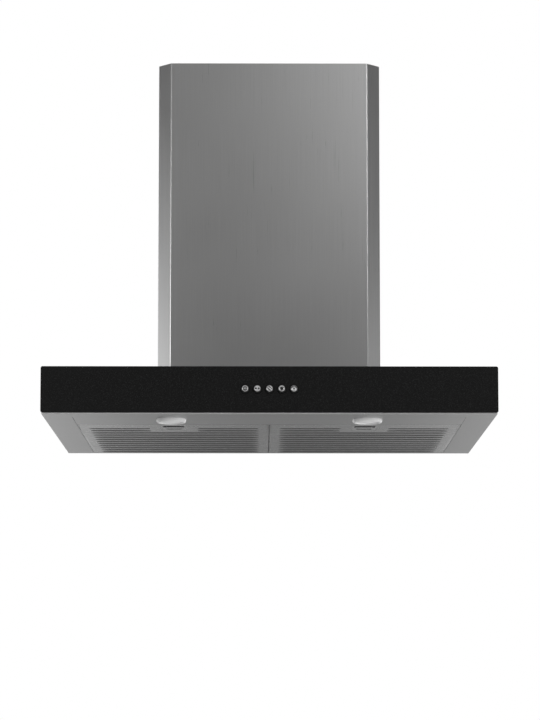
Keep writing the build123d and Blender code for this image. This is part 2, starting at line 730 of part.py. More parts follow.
arm_length = inlet_radius + 20
arm_x = scroll_width / 2 + inlet_roll_height
with BuildPart() as motor_bracket:
    with BuildSketch(Plane.YZ.offset(arm_x)):
        with Locations((blower_y, blower_z)):
            with PolarLocations(0, 3, start_angle=90):
                with Locations((arm_length / 2 + 10, 0)):
                    Rectangle(arm_length - 20, bracket_arm_width)
            Circle(motor_radius + 5)
    extrude(amount=bracket_arm_sheet)
    along_x(blower_y, blower_z, (arm_x, arm_x + 8), motor_radius + 5)
    along_x(blower_y, blower_z, (arm_x - over, arm_x + 8 + over), motor_radius + 0.1, Mode.SUBTRACT)
    # feet that bridge the rolled inlet edge down to the casing
    with BuildSketch(Plane.YZ.offset(scroll_width / 2)):
        with Locations((blower_y, blower_z)):
            with PolarLocations(inlet_radius + arm_screw_side, 3, start_angle=90):
                Rectangle(14, bracket_arm_width)
    extrude(amount=inlet_roll_height + over)
    with BuildSketch(Plane.YZ.offset(scroll_width / 2 - over)):
        with Locations((blower_y, blower_z)):
            with PolarLocations(inlet_radius + arm_screw_side, 3, start_angle=90):
                Circle(screw_radius)
    extrude(amount=inlet_roll_height + bracket_arm_sheet + 2 * over, mode=Mode.SUBTRACT)
save(motor_bracket, "motor_bracket")

can = (-box_half + 2 * can_radius, -box_front + box_sheet + can_radius + hair)
can_bottom = box_top - can_below_top
with BuildPart() as run_capacitor:
    upright(can[0], can[1], (can_bottom, can_bottom + can_height), can_radius)
    upright(can[0], can[1], (can_bottom - 8, can_bottom + 1), 4)
    for dx in (-5, 5):
        block((can[0] + dx - 0.4, can[0] + dx + 0.4), (can[1] - 3, can[1] + 3),
              (can_bottom + can_height - 1, can_bottom + can_height + 8))
save(run_capacitor, "run_capacitor")

box_x = (box_half - box_sheet - terminal_width, box_half - box_sheet)
box_y = (box_sheet - box_front, box_sheet - box_front + terminal_depth)
box_z = (box_top - terminal_below_top - terminal_height, box_top - terminal_below_top)
with BuildPart() as terminal_box:
    block(box_x, box_y, box_z)
    block((box_x[0] + terminal_wall, box_x[1] - terminal_wall), (box_y[0] + terminal_wall, box_y[1] + over),
          (box_z[0] + terminal_wall, box_z[1] - terminal_wall), Mode.SUBTRACT)
    # terminal block, and the hole for the leads
    block((box_x[0] + 8, box_x[1] - 8), (box_y[0] + 1.5, box_y[0] + 18), (box_z[0] + 30, box_z[0] + 44))
    upright((box_x[0] + box_x[1]) / 2, box_y[0] + 26, (box_z[1] - terminal_wall - over, box_z[1] + over),
            gland_bore, Mode.SUBTRACT)
save(terminal_box, "terminal_box")

with BuildPart() as terminal_box_lid:
    block(box_x, (box_y[1], box_y[1] + 2), box_z)
    for x in (box_x[0] + 6, box_x[1] - 6):
        block((x - 3, x + 3), (box_y[1] - 6, box_y[1]), (box_z[0] + terminal_wall + hair, box_z[0] + 4))
        block((x - 3, x + 3), (box_y[1] - 6, box_y[1]), (box_z[1] - 4, box_z[1] - terminal_wall - hair))
save(terminal_box_lid, "terminal_box_lid")

with BuildPart() as cable_gland:
    upright(*gland_place, (box_top, box_top + 3), 9.5)
    upright(*gland_place, (box_top, box_top + 14), 7)
    upright(*gland_place, (box_top - 8, box_top), gland_neck)
    upright(*gland_place, (box_top - 5, box_top - box_sheet), 9)
    upright(*gland_place, (box_top - 8 - over, box_top + 14 + over), gland_bore, Mode.SUBTRACT)
save(cable_gland, "cable_gland")

# ---------------------------------------------------------------- outlet collar with its non-return flaps
collar_top = box_top + collar_base + spigot_length
flap_axis_z = box_top + flap_axis_rise
plate_top = flap_axis_z - 1.4
plate_bottom = plate_top - flap_thick
ledge_top = plate_bottom - hair
spigot_bore = spigot_radius - spigot_wall
with BuildPart() as outlet_collar:
    with BuildSketch(Plane.XY.offset(box_top)):
        with Locations((0, spigot_y)):
            RectangleRounded(2 * (spigot_radius + collar_side), 2 * (spigot_radius + collar_margin), 8)
        with Locations(*collar_screws):
            Circle(screw_radius, mode=Mode.SUBTRACT)
    extrude(amount=collar_base)
    upright(0, spigot_y, (box_top, collar_top), spigot_radius)
    # the bore steps in to a ledge that the shut flaps rest just above
    upright(0, spigot_y, (box_top - over, ledge_top - 2), spigot_bore - 2, Mode.SUBTRACT)
    upright(0, spigot_y, (ledge_top - 3, ledge_top + over), spigot_bore - 3, Mode.SUBTRACT)
    upright(0, spigot_y, (ledge_top, collar_top + over), spigot_bore, Mode.SUBTRACT)
    along_x(spigot_y, flap_axis_z, (-spigot_radius - over, spigot_radius + over),
            flap_pin_radius + running_clearance, Mode.SUBTRACT)
save(outlet_collar, "outlet_collar")

with BuildPart() as flap_pin:
    along_x(spigot_y, flap_axis_z, (hair - spigot_radius, spigot_radius - hair), flap_pin_radius)
save(flap_pin, "flap_pin")

flap_radius = spigot_bore - flap_gap
flap_sides = {"front": -1, "rear": 1}
for flap_name, towards in flap_sides.items():
    knuckle_starts = [-56.0, 12.0] if towards < 0 else [-28.0, 40.0]
    with BuildPart() as flap:
        with BuildSketch(Plane.XY.offset(plate_bottom)):
            with Locations((0, spigot_y)):
                Circle(flap_radius)
            with Locations((0, spigot_y - towards * (flap_radius - flap_edge))):
                Rectangle(3 * flap_radius, 2 * flap_radius, mode=Mode.SUBTRACT)
        extrude(amount=flap_thick)
        for start in knuckle_starts:
            root = sorted((spigot_y, spigot_y + towards * (flap_edge + 0.5)))
            block((start, start + knuckle_length), root, (plate_bottom, plate_top))
            along_x(spigot_y, flap_axis_z, (start, start + knuckle_length), knuckle_radius)
            along_x(spigot_y, flap_axis_z, (start - over, start + knuckle_length + over),
                    flap_pin_radius + running_clearance, Mode.SUBTRACT)
    save(flap, f"flap_{flap_name}")

# ---------------------------------------------------------------- wall frame
frame_half = frame_width / 2
with BuildPart() as wall_frame:
    block((-frame_half, frame_half), (-box_back, 0), (roof + box_sheet, frame_top))
    block((frame_sheet - frame_half, frame_half - frame_sheet), (-box_back - over, -frame_sheet),
          (roof - over, frame_top + over), Mode.SUBTRACT)
    block((-frame_half - over, frame_half + over), (-box_back - over, -frame_sheet),
          (box_top, frame_top + over), Mode.SUBTRACT)
    for x in (-wall_hole_across / 2, wall_hole_across / 2):
        for z in (roof + wall_hole_low, frame_top - wall_hole_high):
            along_y(x, z, (-frame_sheet - over, over), wall_hole_radius, Mode.SUBTRACT)
save(wall_frame, "wall_frame")


# ---------------------------------------------------------------- chimney, two nested covers
def chimney_block(inset, bottom, top, mode=Mode.ADD):
    """The outer shape of the chimney, moved inwards by inset, between two heights."""
    wide = chimney_width - 2 * inset
    deep = chimney_depth - 2 * inset
    corner = chimney_chamfer - inset * (2 - 2 ** 0.5)
    with BuildSketch(Plane.XY.offset(bottom)) as outline:
        with Locations((0, inset - chimney_depth + deep / 2)):
            Rectangle(wide, deep)
        front_corners = vertices().group_by(Axis.Y)[0]
        chamfer(front_corners, corner)
    extrude(outline.sketch, amount=top - bottom, mode=mode)


with BuildPart() as chimney_cover:
    chimney_block(0, roof, chimney_top)
    chimney_block(chimney_sheet, roof - over, chimney_top + over, Mode.SUBTRACT)
    # open at the back, but for a return along each side
    block((chimney_return - chimney_width / 2, chimney_width / 2 - chimney_return),
          (-chimney_sheet - over, over), (roof - over, chimney_top + over), Mode.SUBTRACT)
    # tabs turned inwards at the bottom, screwed to the canopy
    for side in sides.values():
        reach = sorted((side * (side_inner + chimney_sheet / 2), side * (side_inner - chimney_tab)))
        block(reach, (cover_screw_y - chimney_tab_half, cover_screw_y + chimney_tab_half),
              (roof, roof + chimney_sheet))
    for x, y in cover_screws:
        upright(x, y, (roof - over, roof + chimney_sheet + over), screw_radius, Mode.SUBTRACT)
save(chimney_cover, "chimney_cover")

extension_inset = chimney_sheet + telescope_gap
extension_inner = extension_inset + chimney_sheet
extension_bottom = roof + chimney_sheet + screw_head_height + 2 * hair
extension_top = chimney_top - 1.0
extension_half = chimney_width / 2 - extension_inner
tab_face = extension_half - 0.1
with BuildPart() as chimney_extension:
    chimney_block(extension_inset, extension_bottom, extension_top)
    chimney_block(extension_inner, extension_bottom - over, extension_top + over, Mode.SUBTRACT)
    block((chimney_return - chimney_width / 2 + 2, chimney_width / 2 - chimney_return - 2),
          (-extension_inner - over, over), (extension_bottom - over, extension_top + over), Mode.SUBTRACT)
    # vents for use without a duct, high on both sides
    with BuildSketch(Plane.YZ.offset(-chimney_width)):
        with Locations((-chimney_depth / 2 - 10, extension_top - vent_below_top)):
            with GridLocations(0, vent_pitch, 1, vent_rows):
                SlotOverall(vent_length, vent_width)
    extrude(amount=2 * chimney_width, mode=Mode.SUBTRACT)
save(chimney_extension, "chimney_extension")

bracket_top = extension_top - 4
arm_depth = 20.0
tab_length = 26.0
with BuildPart() as chimney_bracket:
    # a hat-shaped strip: wall plate, two arms, and two tabs along the sides of the cover
    with BuildSketch(Plane.XY.offset(bracket_top - bracket_height)):
        with BuildLine():
            Polyline((0, 0), (bracket_half, 0), (bracket_half, -arm_depth),
                     (tab_face, -arm_depth), (tab_face, -arm_depth - tab_length),
                     (tab_face - bracket_sheet, -arm_depth - tab_length),
                     (tab_face - bracket_sheet, -arm_depth - bracket_sheet),
                     (bracket_half - bracket_sheet, -arm_depth - bracket_sheet),
                     (bracket_half - bracket_sheet, -bracket_sheet), (0, -bracket_sheet), close=True)
        make_face()
        mirror(about=Plane.YZ)
    extrude(amount=bracket_height)
    for x in (-bracket_hole_across / 2, bracket_hole_across / 2):
        along_y(x, bracket_top - bracket_height / 2, (-bracket_sheet - over, over),
                bracket_hole_radius, Mode.SUBTRACT)
save(chimney_bracket, "chimney_bracket")

# ---------------------------------------------------------------- self-tapping screws, all alike
def screw(place, direction, length=screw_length):
    """A pan-head screw: place is under its head, direction points from head to tip."""
    plane = Plane(origin=place, z_dir=direction)
    with BuildSketch(plane.offset(-screw_head_height)) as head:
        Circle(screw_head)
    extrude(head.sketch, amount=screw_head_height)
    with BuildSketch(plane) as shank:
        Circle(screw_radius - running_clearance)
    extrude(shank.sketch, amount=length)


down = (0, 0, -1)
with BuildPart() as sheet_screws:
    for x, y in box_screws:
        screw((x, y, roof + box_sheet), down)
    for x, y in collar_screws:
        screw((x, y, box_top + collar_base), down)
    for x, y in cover_screws:
        screw((x, y, roof + chimney_sheet), down)
    for x in switch_screws:
        screw((x, body_front + canopy_sheet + ear_thickness, button_z), (0, -1, 0),
              ear_thickness + canopy_sheet / 2)
save(sheet_screws, "sheet_screws")
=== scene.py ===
# %% [markdown]
# # A wall chimney range hood
# This lesson dresses a kitchen range hood for its picture. The engineering model already holds every piece
# at its real size: a folded steel canopy behind a black front panel, a steel chimney, two grease filters
# and the blower that hides behind them. We load that model as a frame that never changes, remake the pieces
# whose real edges are rounder or finer than the frame shows, and give every surface its own finish.

# %% Load the hood
import json
import math

import bmesh
import bpy
import numpy as np
from mathutils.geometry import delaunay_2d_cdt
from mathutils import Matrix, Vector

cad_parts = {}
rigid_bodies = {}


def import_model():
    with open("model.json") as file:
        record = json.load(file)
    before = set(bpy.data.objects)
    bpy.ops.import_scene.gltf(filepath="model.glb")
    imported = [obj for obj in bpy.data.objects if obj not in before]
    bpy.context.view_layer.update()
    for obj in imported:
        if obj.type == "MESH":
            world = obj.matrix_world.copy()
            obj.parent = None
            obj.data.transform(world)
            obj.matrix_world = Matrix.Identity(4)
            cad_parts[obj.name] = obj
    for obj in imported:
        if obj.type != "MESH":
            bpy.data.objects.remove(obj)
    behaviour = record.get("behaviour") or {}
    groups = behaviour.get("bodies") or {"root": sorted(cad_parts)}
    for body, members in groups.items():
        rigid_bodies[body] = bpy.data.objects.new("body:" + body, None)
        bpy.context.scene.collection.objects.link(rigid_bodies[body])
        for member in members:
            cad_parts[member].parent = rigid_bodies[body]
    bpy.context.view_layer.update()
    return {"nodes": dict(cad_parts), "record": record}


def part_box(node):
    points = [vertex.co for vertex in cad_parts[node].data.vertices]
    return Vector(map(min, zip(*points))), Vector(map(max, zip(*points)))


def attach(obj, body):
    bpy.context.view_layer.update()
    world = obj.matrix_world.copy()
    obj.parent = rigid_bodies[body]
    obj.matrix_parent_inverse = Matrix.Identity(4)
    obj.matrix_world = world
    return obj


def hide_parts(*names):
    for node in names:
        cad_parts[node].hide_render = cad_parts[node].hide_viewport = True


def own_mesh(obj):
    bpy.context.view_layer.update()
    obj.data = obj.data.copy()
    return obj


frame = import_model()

MM = 0.001

# %% [markdown]
# ## Where things are
# Blender works in metres and the hood was drawn in millimetres, so sizes below are written as millimetres
# times `MM`. Places come from the frame: `span` gives the lowest and highest corner of a piece as two
# arrays, and what is remade takes its place from there, so it can't drift away from what carries it. The
# frame's record also says which body carries each piece, and what the piece is made of: its slot.

# %% Read places from the frame
SIDES = {"left": -1, "right": 1}
record = frame["record"]
slot_of = {part["node"]: part["material_slot"] for part in record["subparts"]}
body_of = {node: body for body, nodes in record["behaviour"]["bodies"].items() for node in nodes}


def span(node):
    """The lowest and the highest corner of a piece of the frame, as two arrays."""
    low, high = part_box(node)
    return np.array(low), np.array(high)


def middle(node):
    """The centre of a piece's box."""
    low, high = span(node)
    return (low + high) / 2


button_centres = [middle(f"button_{number}") for number in range(1, 6)]
print("button pitch", round((button_centres[1] - button_centres[0])[0] / MM, 2), "mm;",
      len(set(slot_of.values())), "slots")

# %% [markdown]
# ## Shapes as grids of numbers
# A surface is a function of two parameters. We work it out for a whole grid of parameter values at once, as
# one numpy array, and hand the array to Blender as vertices. `grid_faces` joins neighbours of such a grid
# with quads, and it can close the grid onto itself in either direction, which a ring or a tube needs. Each
# finished piece rides on a body of the frame, and takes its finish from `finishes`, which is filled below,
# one entry a slot.

# %% Grids of points into meshes
def grid_faces(rows, columns, wrap_rows=False, wrap_columns=False, first=0):
    """Quads over a grid: each joins point (r, c) to (r, c+1), (r+1, c+1) and (r+1, c)."""
    r = np.arange(rows if wrap_rows else rows - 1)
    c = np.arange(columns if wrap_columns else columns - 1)
    r, c = np.meshgrid(r, c, indexing="ij")
    next_r, next_c = (r + 1) % rows, (c + 1) % columns
    corners = [r * columns + c, r * columns + next_c, next_r * columns + next_c, next_r * columns + c]
    return (np.stack(corners, -1).reshape(-1, 4) + first).tolist()


def tidy_mesh(mesh, merge=1e-6):
    """Merge points that coincide and turn every face outwards."""
    work = bmesh.new()
    work.from_mesh(mesh)
    bmesh.ops.remove_doubles(work, verts=work.verts, dist=merge)
    bmesh.ops.recalc_face_normals(work, faces=work.faces)
    work.to_mesh(mesh)
    work.free()


def shade(mesh, sharp_degrees):
    """Smooth shading that breaks only at edges sharper than the angle."""
    mesh.polygons.foreach_set("use_smooth", np.ones(len(mesh.polygons), bool))
    mesh.set_sharp_from_angle(angle=math.radians(sharp_degrees))


finishes = {}


def paint(piece, material):
    """Give a piece one material, in all of its slots."""
    if not piece.data.materials:
        piece.data.materials.append(material)
    for place in range(len(piece.data.materials)):
        piece.data.materials[place] = material


def add_piece(name, mesh, node, replaced=True):
    """Put a mesh into the scene with a frame piece's body and finish, normally in that piece's place."""
    piece = bpy.data.objects.new(name, mesh)
    bpy.context.scene.collection.objects.link(piece)
    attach(piece, body_of[node])
    if replaced:
        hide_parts(node)
    paint(piece, finishes[slot_of[node]])
    return piece


def shape_piece(name, points, faces, node, sharp_degrees=32.0, replaced=True):
    """A new piece from an array of points and a list of faces."""
    mesh = bpy.data.meshes.new(name)
    mesh.from_pydata(np.asarray(points).reshape(-1, 3).tolist(), [], faces)
    tidy_mesh(mesh)
    shade(mesh, sharp_degrees)
    return add_piece(name, mesh, node, replaced)


# %% [markdown]
# Three ways of sweeping cover nearly everything on the hood. A *revolved* piece turns a profile round an
# axis: buttons, lamp rings, glasses. A *carried* piece takes the cross-section of a sheet along a folded
# line: the chimney. A *tube* follows a line in space: the springs. Each is one formula over a grid.

# %% The three sweeps
def revolved(profile, centre, axis, steps=64):
    """Points of a surface of revolution: centre + height * axis + radius * (cos a * side + sin a * up).

    profile is an array of (radius, height) and a runs once round the circle.
    """
    axis = np.asarray(axis, float)
    side = np.cross(axis, [0.3, 0.5, 0.8])
    side /= np.linalg.norm(side)
    up = np.cross(axis, side)
    radius, height = np.asarray(profile, float).T[:, :, None]
    angle = np.linspace(0, 2 * np.pi, steps, endpoint=False)[None, :]
    ring = np.cos(angle)[..., None] * side + np.sin(angle)[..., None] * up
    return np.asarray(centre) + height[..., None] * axis + radius[..., None] * ring


def arc(centre, radius, start, end, steps=6):
    """Points of an arc: centre + radius * (cos a, sin a), with a from start to end in degrees."""
    angle = np.radians(np.linspace(start, end, steps + 1))
    return np.stack([centre[0] + radius * np.cos(angle), centre[1] + radius * np.sin(angle)], -1)


def folded_line(corners, bend_radius, steps=6):
    """A line in plan through the corners, bent round each one: its points and the normals to its left.

    At a corner where the line turns by the angle t, the bend starts radius * tan(t / 2) before it, and the
    normal turns evenly from that of the first straight to that of the second.
    """
    corners = np.asarray(corners, float)
    run = np.diff(corners, axis=0)
    run /= np.linalg.norm(run, axis=1)[:, None]
    left = np.stack([-run[:, 1], run[:, 0]], -1)
    points, normals = [corners[0]], [left[0]]
    for number in range(1, len(corners) - 1):
        before, after = run[number - 1], run[number]
        turn = math.atan2(before[0] * after[1] - before[1] * after[0], before @ after)
        reach = bend_radius * math.tan(abs(turn) / 2)
        pivot = corners[number] - before * reach + left[number - 1] * bend_radius * np.sign(turn)
        angle = np.linspace(0, turn, steps + 1)[:, None]
        turned = np.cos(angle) * left[number - 1] - np.sin(angle) * before
        points.extend(pivot - np.sign(turn) * bend_radius * turned)
        normals.extend(turned)
    points.append(corners[-1])
    normals.append(left[-1])
    return np.array(points), np.array(normals)


def carried(section, line, inwards):
    """Points of a sheet: a closed section of (depth, height) carried along a folded line.

    point = line + depth * inwards, lifted to height. The section runs along the rows.
    """
    depth, height = np.asarray(section, float).T[:, :, None]
    flat = line[None, :, :] + depth[..., None] * inwards[None, :, :]
    return np.concatenate([flat, np.broadcast_to(height[..., None], flat.shape[:2] + (1,))], -1)


def tube(line, outwards, radius, sides=8):
    """Points of a tube round a line: line + radius * (cos a * outwards + sin a * (direction x outwards))."""
    direction = np.gradient(line, axis=0)
    direction /= np.linalg.norm(direction, axis=1)[:, None]
    across = np.cross(direction, outwards)
    angle = np.linspace(0, 2 * np.pi, sides, endpoint=False)
    ring = np.cos(angle)[None, :, None] * outwards[:, None] + np.sin(angle)[None, :, None] * across[:, None]
    return line[:, None, :] + radius * ring


# %% [markdown]
# Folded sheet and moulded plastic never end in a mathematically sharp edge, and a sharp edge catches no
# light. For the pieces whose shape in the frame is right, we take a *copy*, merge its loose triangles, and
# let a Bevel modifier round its edges by a few tenths of a millimetre. The frame's own piece is then
# hidden.

# %% Rounded copies of frame pieces
LEAST_BEND = 30.0         # degrees: an edge that bends less than this stays as it is
SAME_FLAT = 0.6           # degrees: triangles that differ by less are one flat face


def softened(node, width, segments=2):
    """A merged copy of a frame piece whose edges are rounded, standing for that piece."""
    mesh = frame["nodes"][node].data.copy()
    mesh.name = f"{node}_rounded"
    work = bmesh.new()
    work.from_mesh(mesh)
    bmesh.ops.remove_doubles(work, verts=work.verts, dist=1e-6)
    bmesh.ops.dissolve_limit(work, angle_limit=math.radians(SAME_FLAT), verts=work.verts, edges=work.edges)
    work.to_mesh(mesh)
    work.free()
    shade(mesh, LEAST_BEND)
    piece = add_piece(f"{node}_rounded", mesh, node)
    bevel = piece.modifiers.new("rounded edges", "BEVEL")
    bevel.width = width
    bevel.segments = segments
    bevel.limit_method = "ANGLE"
    bevel.angle_limit = math.radians(LEAST_BEND)
    bevel.harden_normals = True
    return piece


# %% [markdown]
# ## Finishes as sums
# A material is a small calculation that runs at every point of a surface. Written with nodes it is a web of
# boxes; written here, it reads as arithmetic. `Wire` wraps one output socket, and adding, multiplying or
# comparing wires adds the Math nodes. `Finish` is one material with its surface shader, and its `node`
# method makes any other node: settings first, then the values or wires of its sockets.

# %% Sockets that do arithmetic
class Wire:
    """One output socket of a finish, which can be used in sums like a number."""

    def __init__(self, finish, socket):
        self.finish = finish
        self.socket = socket

    def maths(self, operation, *values):
        """A Math node whose inputs are the values, in order."""
        return self.finish.node("ShaderNodeMath", {"operation": operation}, dict(enumerate(values)))

    def __add__(self, other):
        return self.maths("ADD", self, other)

    def __radd__(self, other):
        return self.maths("ADD", other, self)

    def __sub__(self, other):
        return self.maths("SUBTRACT", self, other)

    def __rsub__(self, other):
        return self.maths("SUBTRACT", other, self)

    def __mul__(self, other):
        return self.maths("MULTIPLY", self, other)

    def __rmul__(self, other):
        return self.maths("MULTIPLY", other, self)

    def __truediv__(self, other):
        return self.maths("DIVIDE", self, other)

    def __lt__(self, other):
        return self.maths("LESS_THAN", self, other)

    def __gt__(self, other):
        return self.maths("GREATER_THAN", self, other)

    def __abs__(self):
        return self.maths("ABSOLUTE", self)

    def root(self):
        return self.maths("SQRT", self)

    def sine(self):
        return self.maths("SINE", self)

    def fraction(self):
        return self.maths("FRACT", self)

    def power_of_e(self):
        return self.maths("EXPONENT", self)

    def lower(self, other):
        return self.maths("MINIMUM", self, other)

    def upper(self, other):
        return self.maths("MAXIMUM", self, other)


class Finish:
    """One material: a surface shader with fixed values, set at once, and varying ones, fed later."""

    def __init__(self, name, **fixed):
        self.material = bpy.data.materials.new(name)
        self.material.use_nodes = True
        self.tree = self.material.node_tree
        self.tree.nodes.clear()
        self.end = self.tree.nodes.new("ShaderNodeOutputMaterial")
        self.surface = self.tree.nodes.new("ShaderNodeBsdfPrincipled")
        self.tree.links.new(self.surface.outputs[0], self.end.inputs["Surface"])
        for label, value in fixed.items():
            self.surface.inputs[label.replace("_", " ").title().replace("Ior", "IOR")].default_value = value

    def put(self, socket, value):
        """Link a wire to a socket, or write a plain value on it."""
        if isinstance(value, Wire):
            self.tree.links.new(value.socket, socket)
        else:
            socket.default_value = value

    def node(self, kind, settings=None, values=None, output=0):
        """Make a node, set its settings, then its sockets, and return one of its outputs as a wire."""
        made = self.tree.nodes.new(kind)
        for label, value in (settings or {}).items():
            setattr(made, label, value)
        for label, value in (values or {}).items():
            self.put(made.inputs[label], value)
        return Wire(self, made.outputs[output])

    def feed(self, **varying):
        """Feed wires into the surface shader's sockets, named in lower case with _ for each space."""
        for label, value in varying.items():
            self.put(self.surface.inputs[label.replace("_", " ").title()], value)

    def place(self, stretch=(1, 1, 1), centre=(0, 0, 0)):
        """Object coordinates, moved so that centre is at zero, and then stretched."""
        here = self.node("ShaderNodeTexCoord", output="Object")
        moved = self.node("ShaderNodeVectorMath", {"operation": "SUBTRACT"}, {0: here, 1: centre})
        return self.node("ShaderNodeMapping", None, {"Vector": moved, "Scale": stretch})

    def axes(self, **how):
        """The three coordinates of place() as three wires."""
        place = self.place(**how)
        return [self.node("ShaderNodeSeparateXYZ", None, {0: place}, output=name) for name in "XYZ"]

    def noise(self, per_metre, detail=2.0, rough=0.5):
        """Soft random values about 0.5 with so many grains per metre: one number, or one for each axis."""
        stretch = per_metre if isinstance(per_metre, tuple) else (per_metre,) * 3
        place = self.place(stretch=stretch)
        return self.node("ShaderNodeTexNoise", None,
                         {"Vector": place, "Scale": 1.0, "Detail": detail, "Roughness": rough})

    def blend(self, factor, first, second):
        """A colour between two colours; sockets 6 and 7 and output 2 are the Mix node's colours."""
        first, second = ((*colour, 1) if isinstance(colour, tuple) else colour for colour in (first, second))
        values = {"Factor": factor, 6: first, 7: second}
        return self.node("ShaderNodeMix", {"data_type": "RGBA"}, values, output=2)

    def smooth_step(self, value, start, end, before=0.0, after=1.0):
        """A value that goes softly from before to after while another goes from start to end."""
        return self.node("ShaderNodeMapRange", {"interpolation_type": "SMOOTHSTEP"},
                         {0: value, 1: start, 2: end, 3: before, 4: after})

    def bump(self, height, distance):
        """Feed the Normal socket with a bump of the height, where a height of 1 is distance, in metres."""
        values = {"Height": height, "Distance": distance, "Strength": 1.0}
        self.feed(normal=self.node("ShaderNodeBump", None, values))


# %% [markdown]
# ### Steel
# The hood is stainless steel with a satin finish: long fine scratches all in one direction, over a faint
# cloudiness that rolling leaves. Metal has no colour of its own beside what it mirrors, so the tone is a
# plain grey and the life comes from roughness and from the scratches' tiny relief. Each sheet is brushed
# along its own length, which is why the direction is a parameter.

# %% Brushed steel
FINE = 1100.0             # scratches per metre across the brushing
LONG = 9.0                # and along it
CLOUD = 7.0               # clouds per metre
SCRATCH_RELIEF = 6e-6     # metres
STREAK_TONE = 0.20        # how far the streaks and the clouds change the tone
CLOUD_TONE = 0.12
STREAK_ROUGH = 0.12       # and the roughness
CLOUD_ROUGH = 0.04
STEEL_TONE = 0.50
CANOPY_TONE = 0.96 * STEEL_TONE
FILTER_TONE = 0.95 * STEEL_TONE
LATCH_TONE = 1.1 * STEEL_TONE
PAINTED_HIGHLIGHT_ABOVE = 1.5            # steel whose tone is multiplied by more than this carries the rim's painted highlight
HIGHLIGHT_METAL_CUT = 0.34            # and is made less metallic by this share, so the painted highlight shows as pale tone


def brushed(finish, along="x"):
    """The two patterns of brushed steel, each about zero: streaks along an axis, and clouds."""
    per_metre = [FINE, FINE, FINE]
    per_metre["xyz".index(along)] = LONG
    return (finish.noise(tuple(per_metre), detail=4.0, rough=0.6) - 0.5,
            finish.noise(CLOUD) - 0.5)


def steel_values(finish, tone, rough, along="x"):
    """Tone and roughness of brushed steel, each a mean plus shares of its patterns, and its streaks."""
    streaks, clouds = brushed(finish, along)
    return (tone * (1.0 + STREAK_TONE * streaks + CLOUD_TONE * clouds),
            rough + STREAK_ROUGH * streaks + CLOUD_ROUGH * clouds, streaks)


def satin_steel(name, tone, along, rough=0.3, edges=None):
    """Brushed steel whose tone is multiplied by edges(finish), where that is given: painted seam shade, and a
    painted rim highlight.
    """
    finish = Finish(name, metallic=1.0)
    grey, roughness, streaks = steel_values(finish, tone, rough, along)
    if edges:
        factor = edges(finish)
        grey = grey * factor
        # where the rim's painted highlight is, the steel is less metallic, so it shows as pale tone
        finish.feed(metallic=1.0 - HIGHLIGHT_METAL_CUT * (factor > PAINTED_HIGHLIGHT_ABOVE))
    finish.feed(base_color=grey, roughness=roughness)
    finish.bump(streaks, SCRATCH_RELIEF)
    return finish.material


print("steel is brushed with", round(FINE * MM, 1), "scratches a millimetre")

# %% [markdown]
# Two places on the underside aren't the plain tone. Where two sheets meet, their rounded edges turn up into
# a gap where shade falls, and that shade is painted: each seam is a thin dark line. The front edge of the
# canopy, under the panel, carries a painted highlight: a bright line of pale, less metallic tone. Both are
# masks that multiply the tone.

# %% Painted seam shade, the painted rim highlight and the five steels
SEAM_HALF = 262.5 * MM    # the seams lie within this of the middle
SEAM_FRONT = -452.0 * MM
SEAM_FOOT = 0.06 * MM     # the rounded edges begin this far above the underside
SEAM_TOP = 1.0 * MM
SEAM_SHADE = 0.8          # share of the tone that a seam loses to painted shade
RIM_REAR = -485.7 * MM
RIM_TOP = 2.4 * MM
RIM_GAIN = 1.05           # share of the tone that the rim gains as a painted highlight


def painted_seam_shade(finish):
    """Painted shade: low on the rounded edges that turn up into the gaps about the strip and the filters, 1
    elsewhere.
    """
    x, y, z = finish.axes()
    seam = (abs(x) < SEAM_HALF) * (y > SEAM_FRONT) * (z > SEAM_FOOT) * (z < SEAM_TOP)
    return 1.0 - SEAM_SHADE * seam


def painted_rim_highlight(finish):
    """Painted seam shade, and above PAINTED_HIGHLIGHT_ABOVE a painted highlight on the front edge that shows
    under the panel.
    """
    _, y, z = finish.axes()
    return painted_seam_shade(finish) + RIM_GAIN * (y < RIM_REAR) * (z < RIM_TOP)


finishes["canopy_steel"] = satin_steel("canopy steel", CANOPY_TONE, "x", edges=painted_rim_highlight)
finishes["strip_steel"] = satin_steel("light strip steel", STEEL_TONE, "x", edges=painted_seam_shade)
finishes["chimney_steel"] = satin_steel("chimney steel", STEEL_TONE, "z")
finishes["filter_steel"] = satin_steel("filter steel", FILTER_TONE, "x", edges=painted_seam_shade)
finishes["latch_steel"] = satin_steel("latch steel", LATCH_TONE, "x", rough=0.25)
print("satin steels:", ", ".join(finishes))

# %% [markdown]
# ### The black front panel
# The panel is glass, painted black from behind, and the paint holds a fine mineral speckle that only shows
# close up. The speckle is a cell pattern: a cell shines a little when its own random number is high. The
# lowest edge of the glass is ground and not polished, so it is a little paler and rougher.

# %% Black speckled glass
GRAINS = 1700.0           # cells per metre
RARE = 0.72               # a grain shows when its random number is above this
GROUND_TOP = 1.53 * MM


def cells(finish, per_metre):
    """A random number for each cell of a cell pattern."""
    colour = finish.node("ShaderNodeTexVoronoi", {"feature": "F1"},
                         {"Vector": finish.place(), "Scale": per_metre}, output="Color")
    return finish.node("ShaderNodeSeparateColor", None, {0: colour})


def black_glass():
    """Near-black glass with grains of about 0.6 mm, a few of them a little paler, and a ground lower edge."""
    finish = Finish("black speckled glass", specular_ior_level=0.2)
    luck = cells(finish, GRAINS)
    patches = finish.noise(240.0, detail=3.0)
    speck = (luck > RARE) * (luck - RARE) * 3.0 * patches
    _, _, height = finish.axes()
    ground = height < GROUND_TOP
    black = finish.blend(speck, (0.0060, 0.0060, 0.0060), (0.019, 0.0195, 0.020))
    finish.feed(base_color=finish.blend(ground, black, (0.06, 0.06, 0.06)),
                roughness=0.24 + 0.2 * speck + 0.3 * ground)
    return finish.material


finishes["black_glass"] = black_glass()
print("panel finish:", finishes["black_glass"].name)

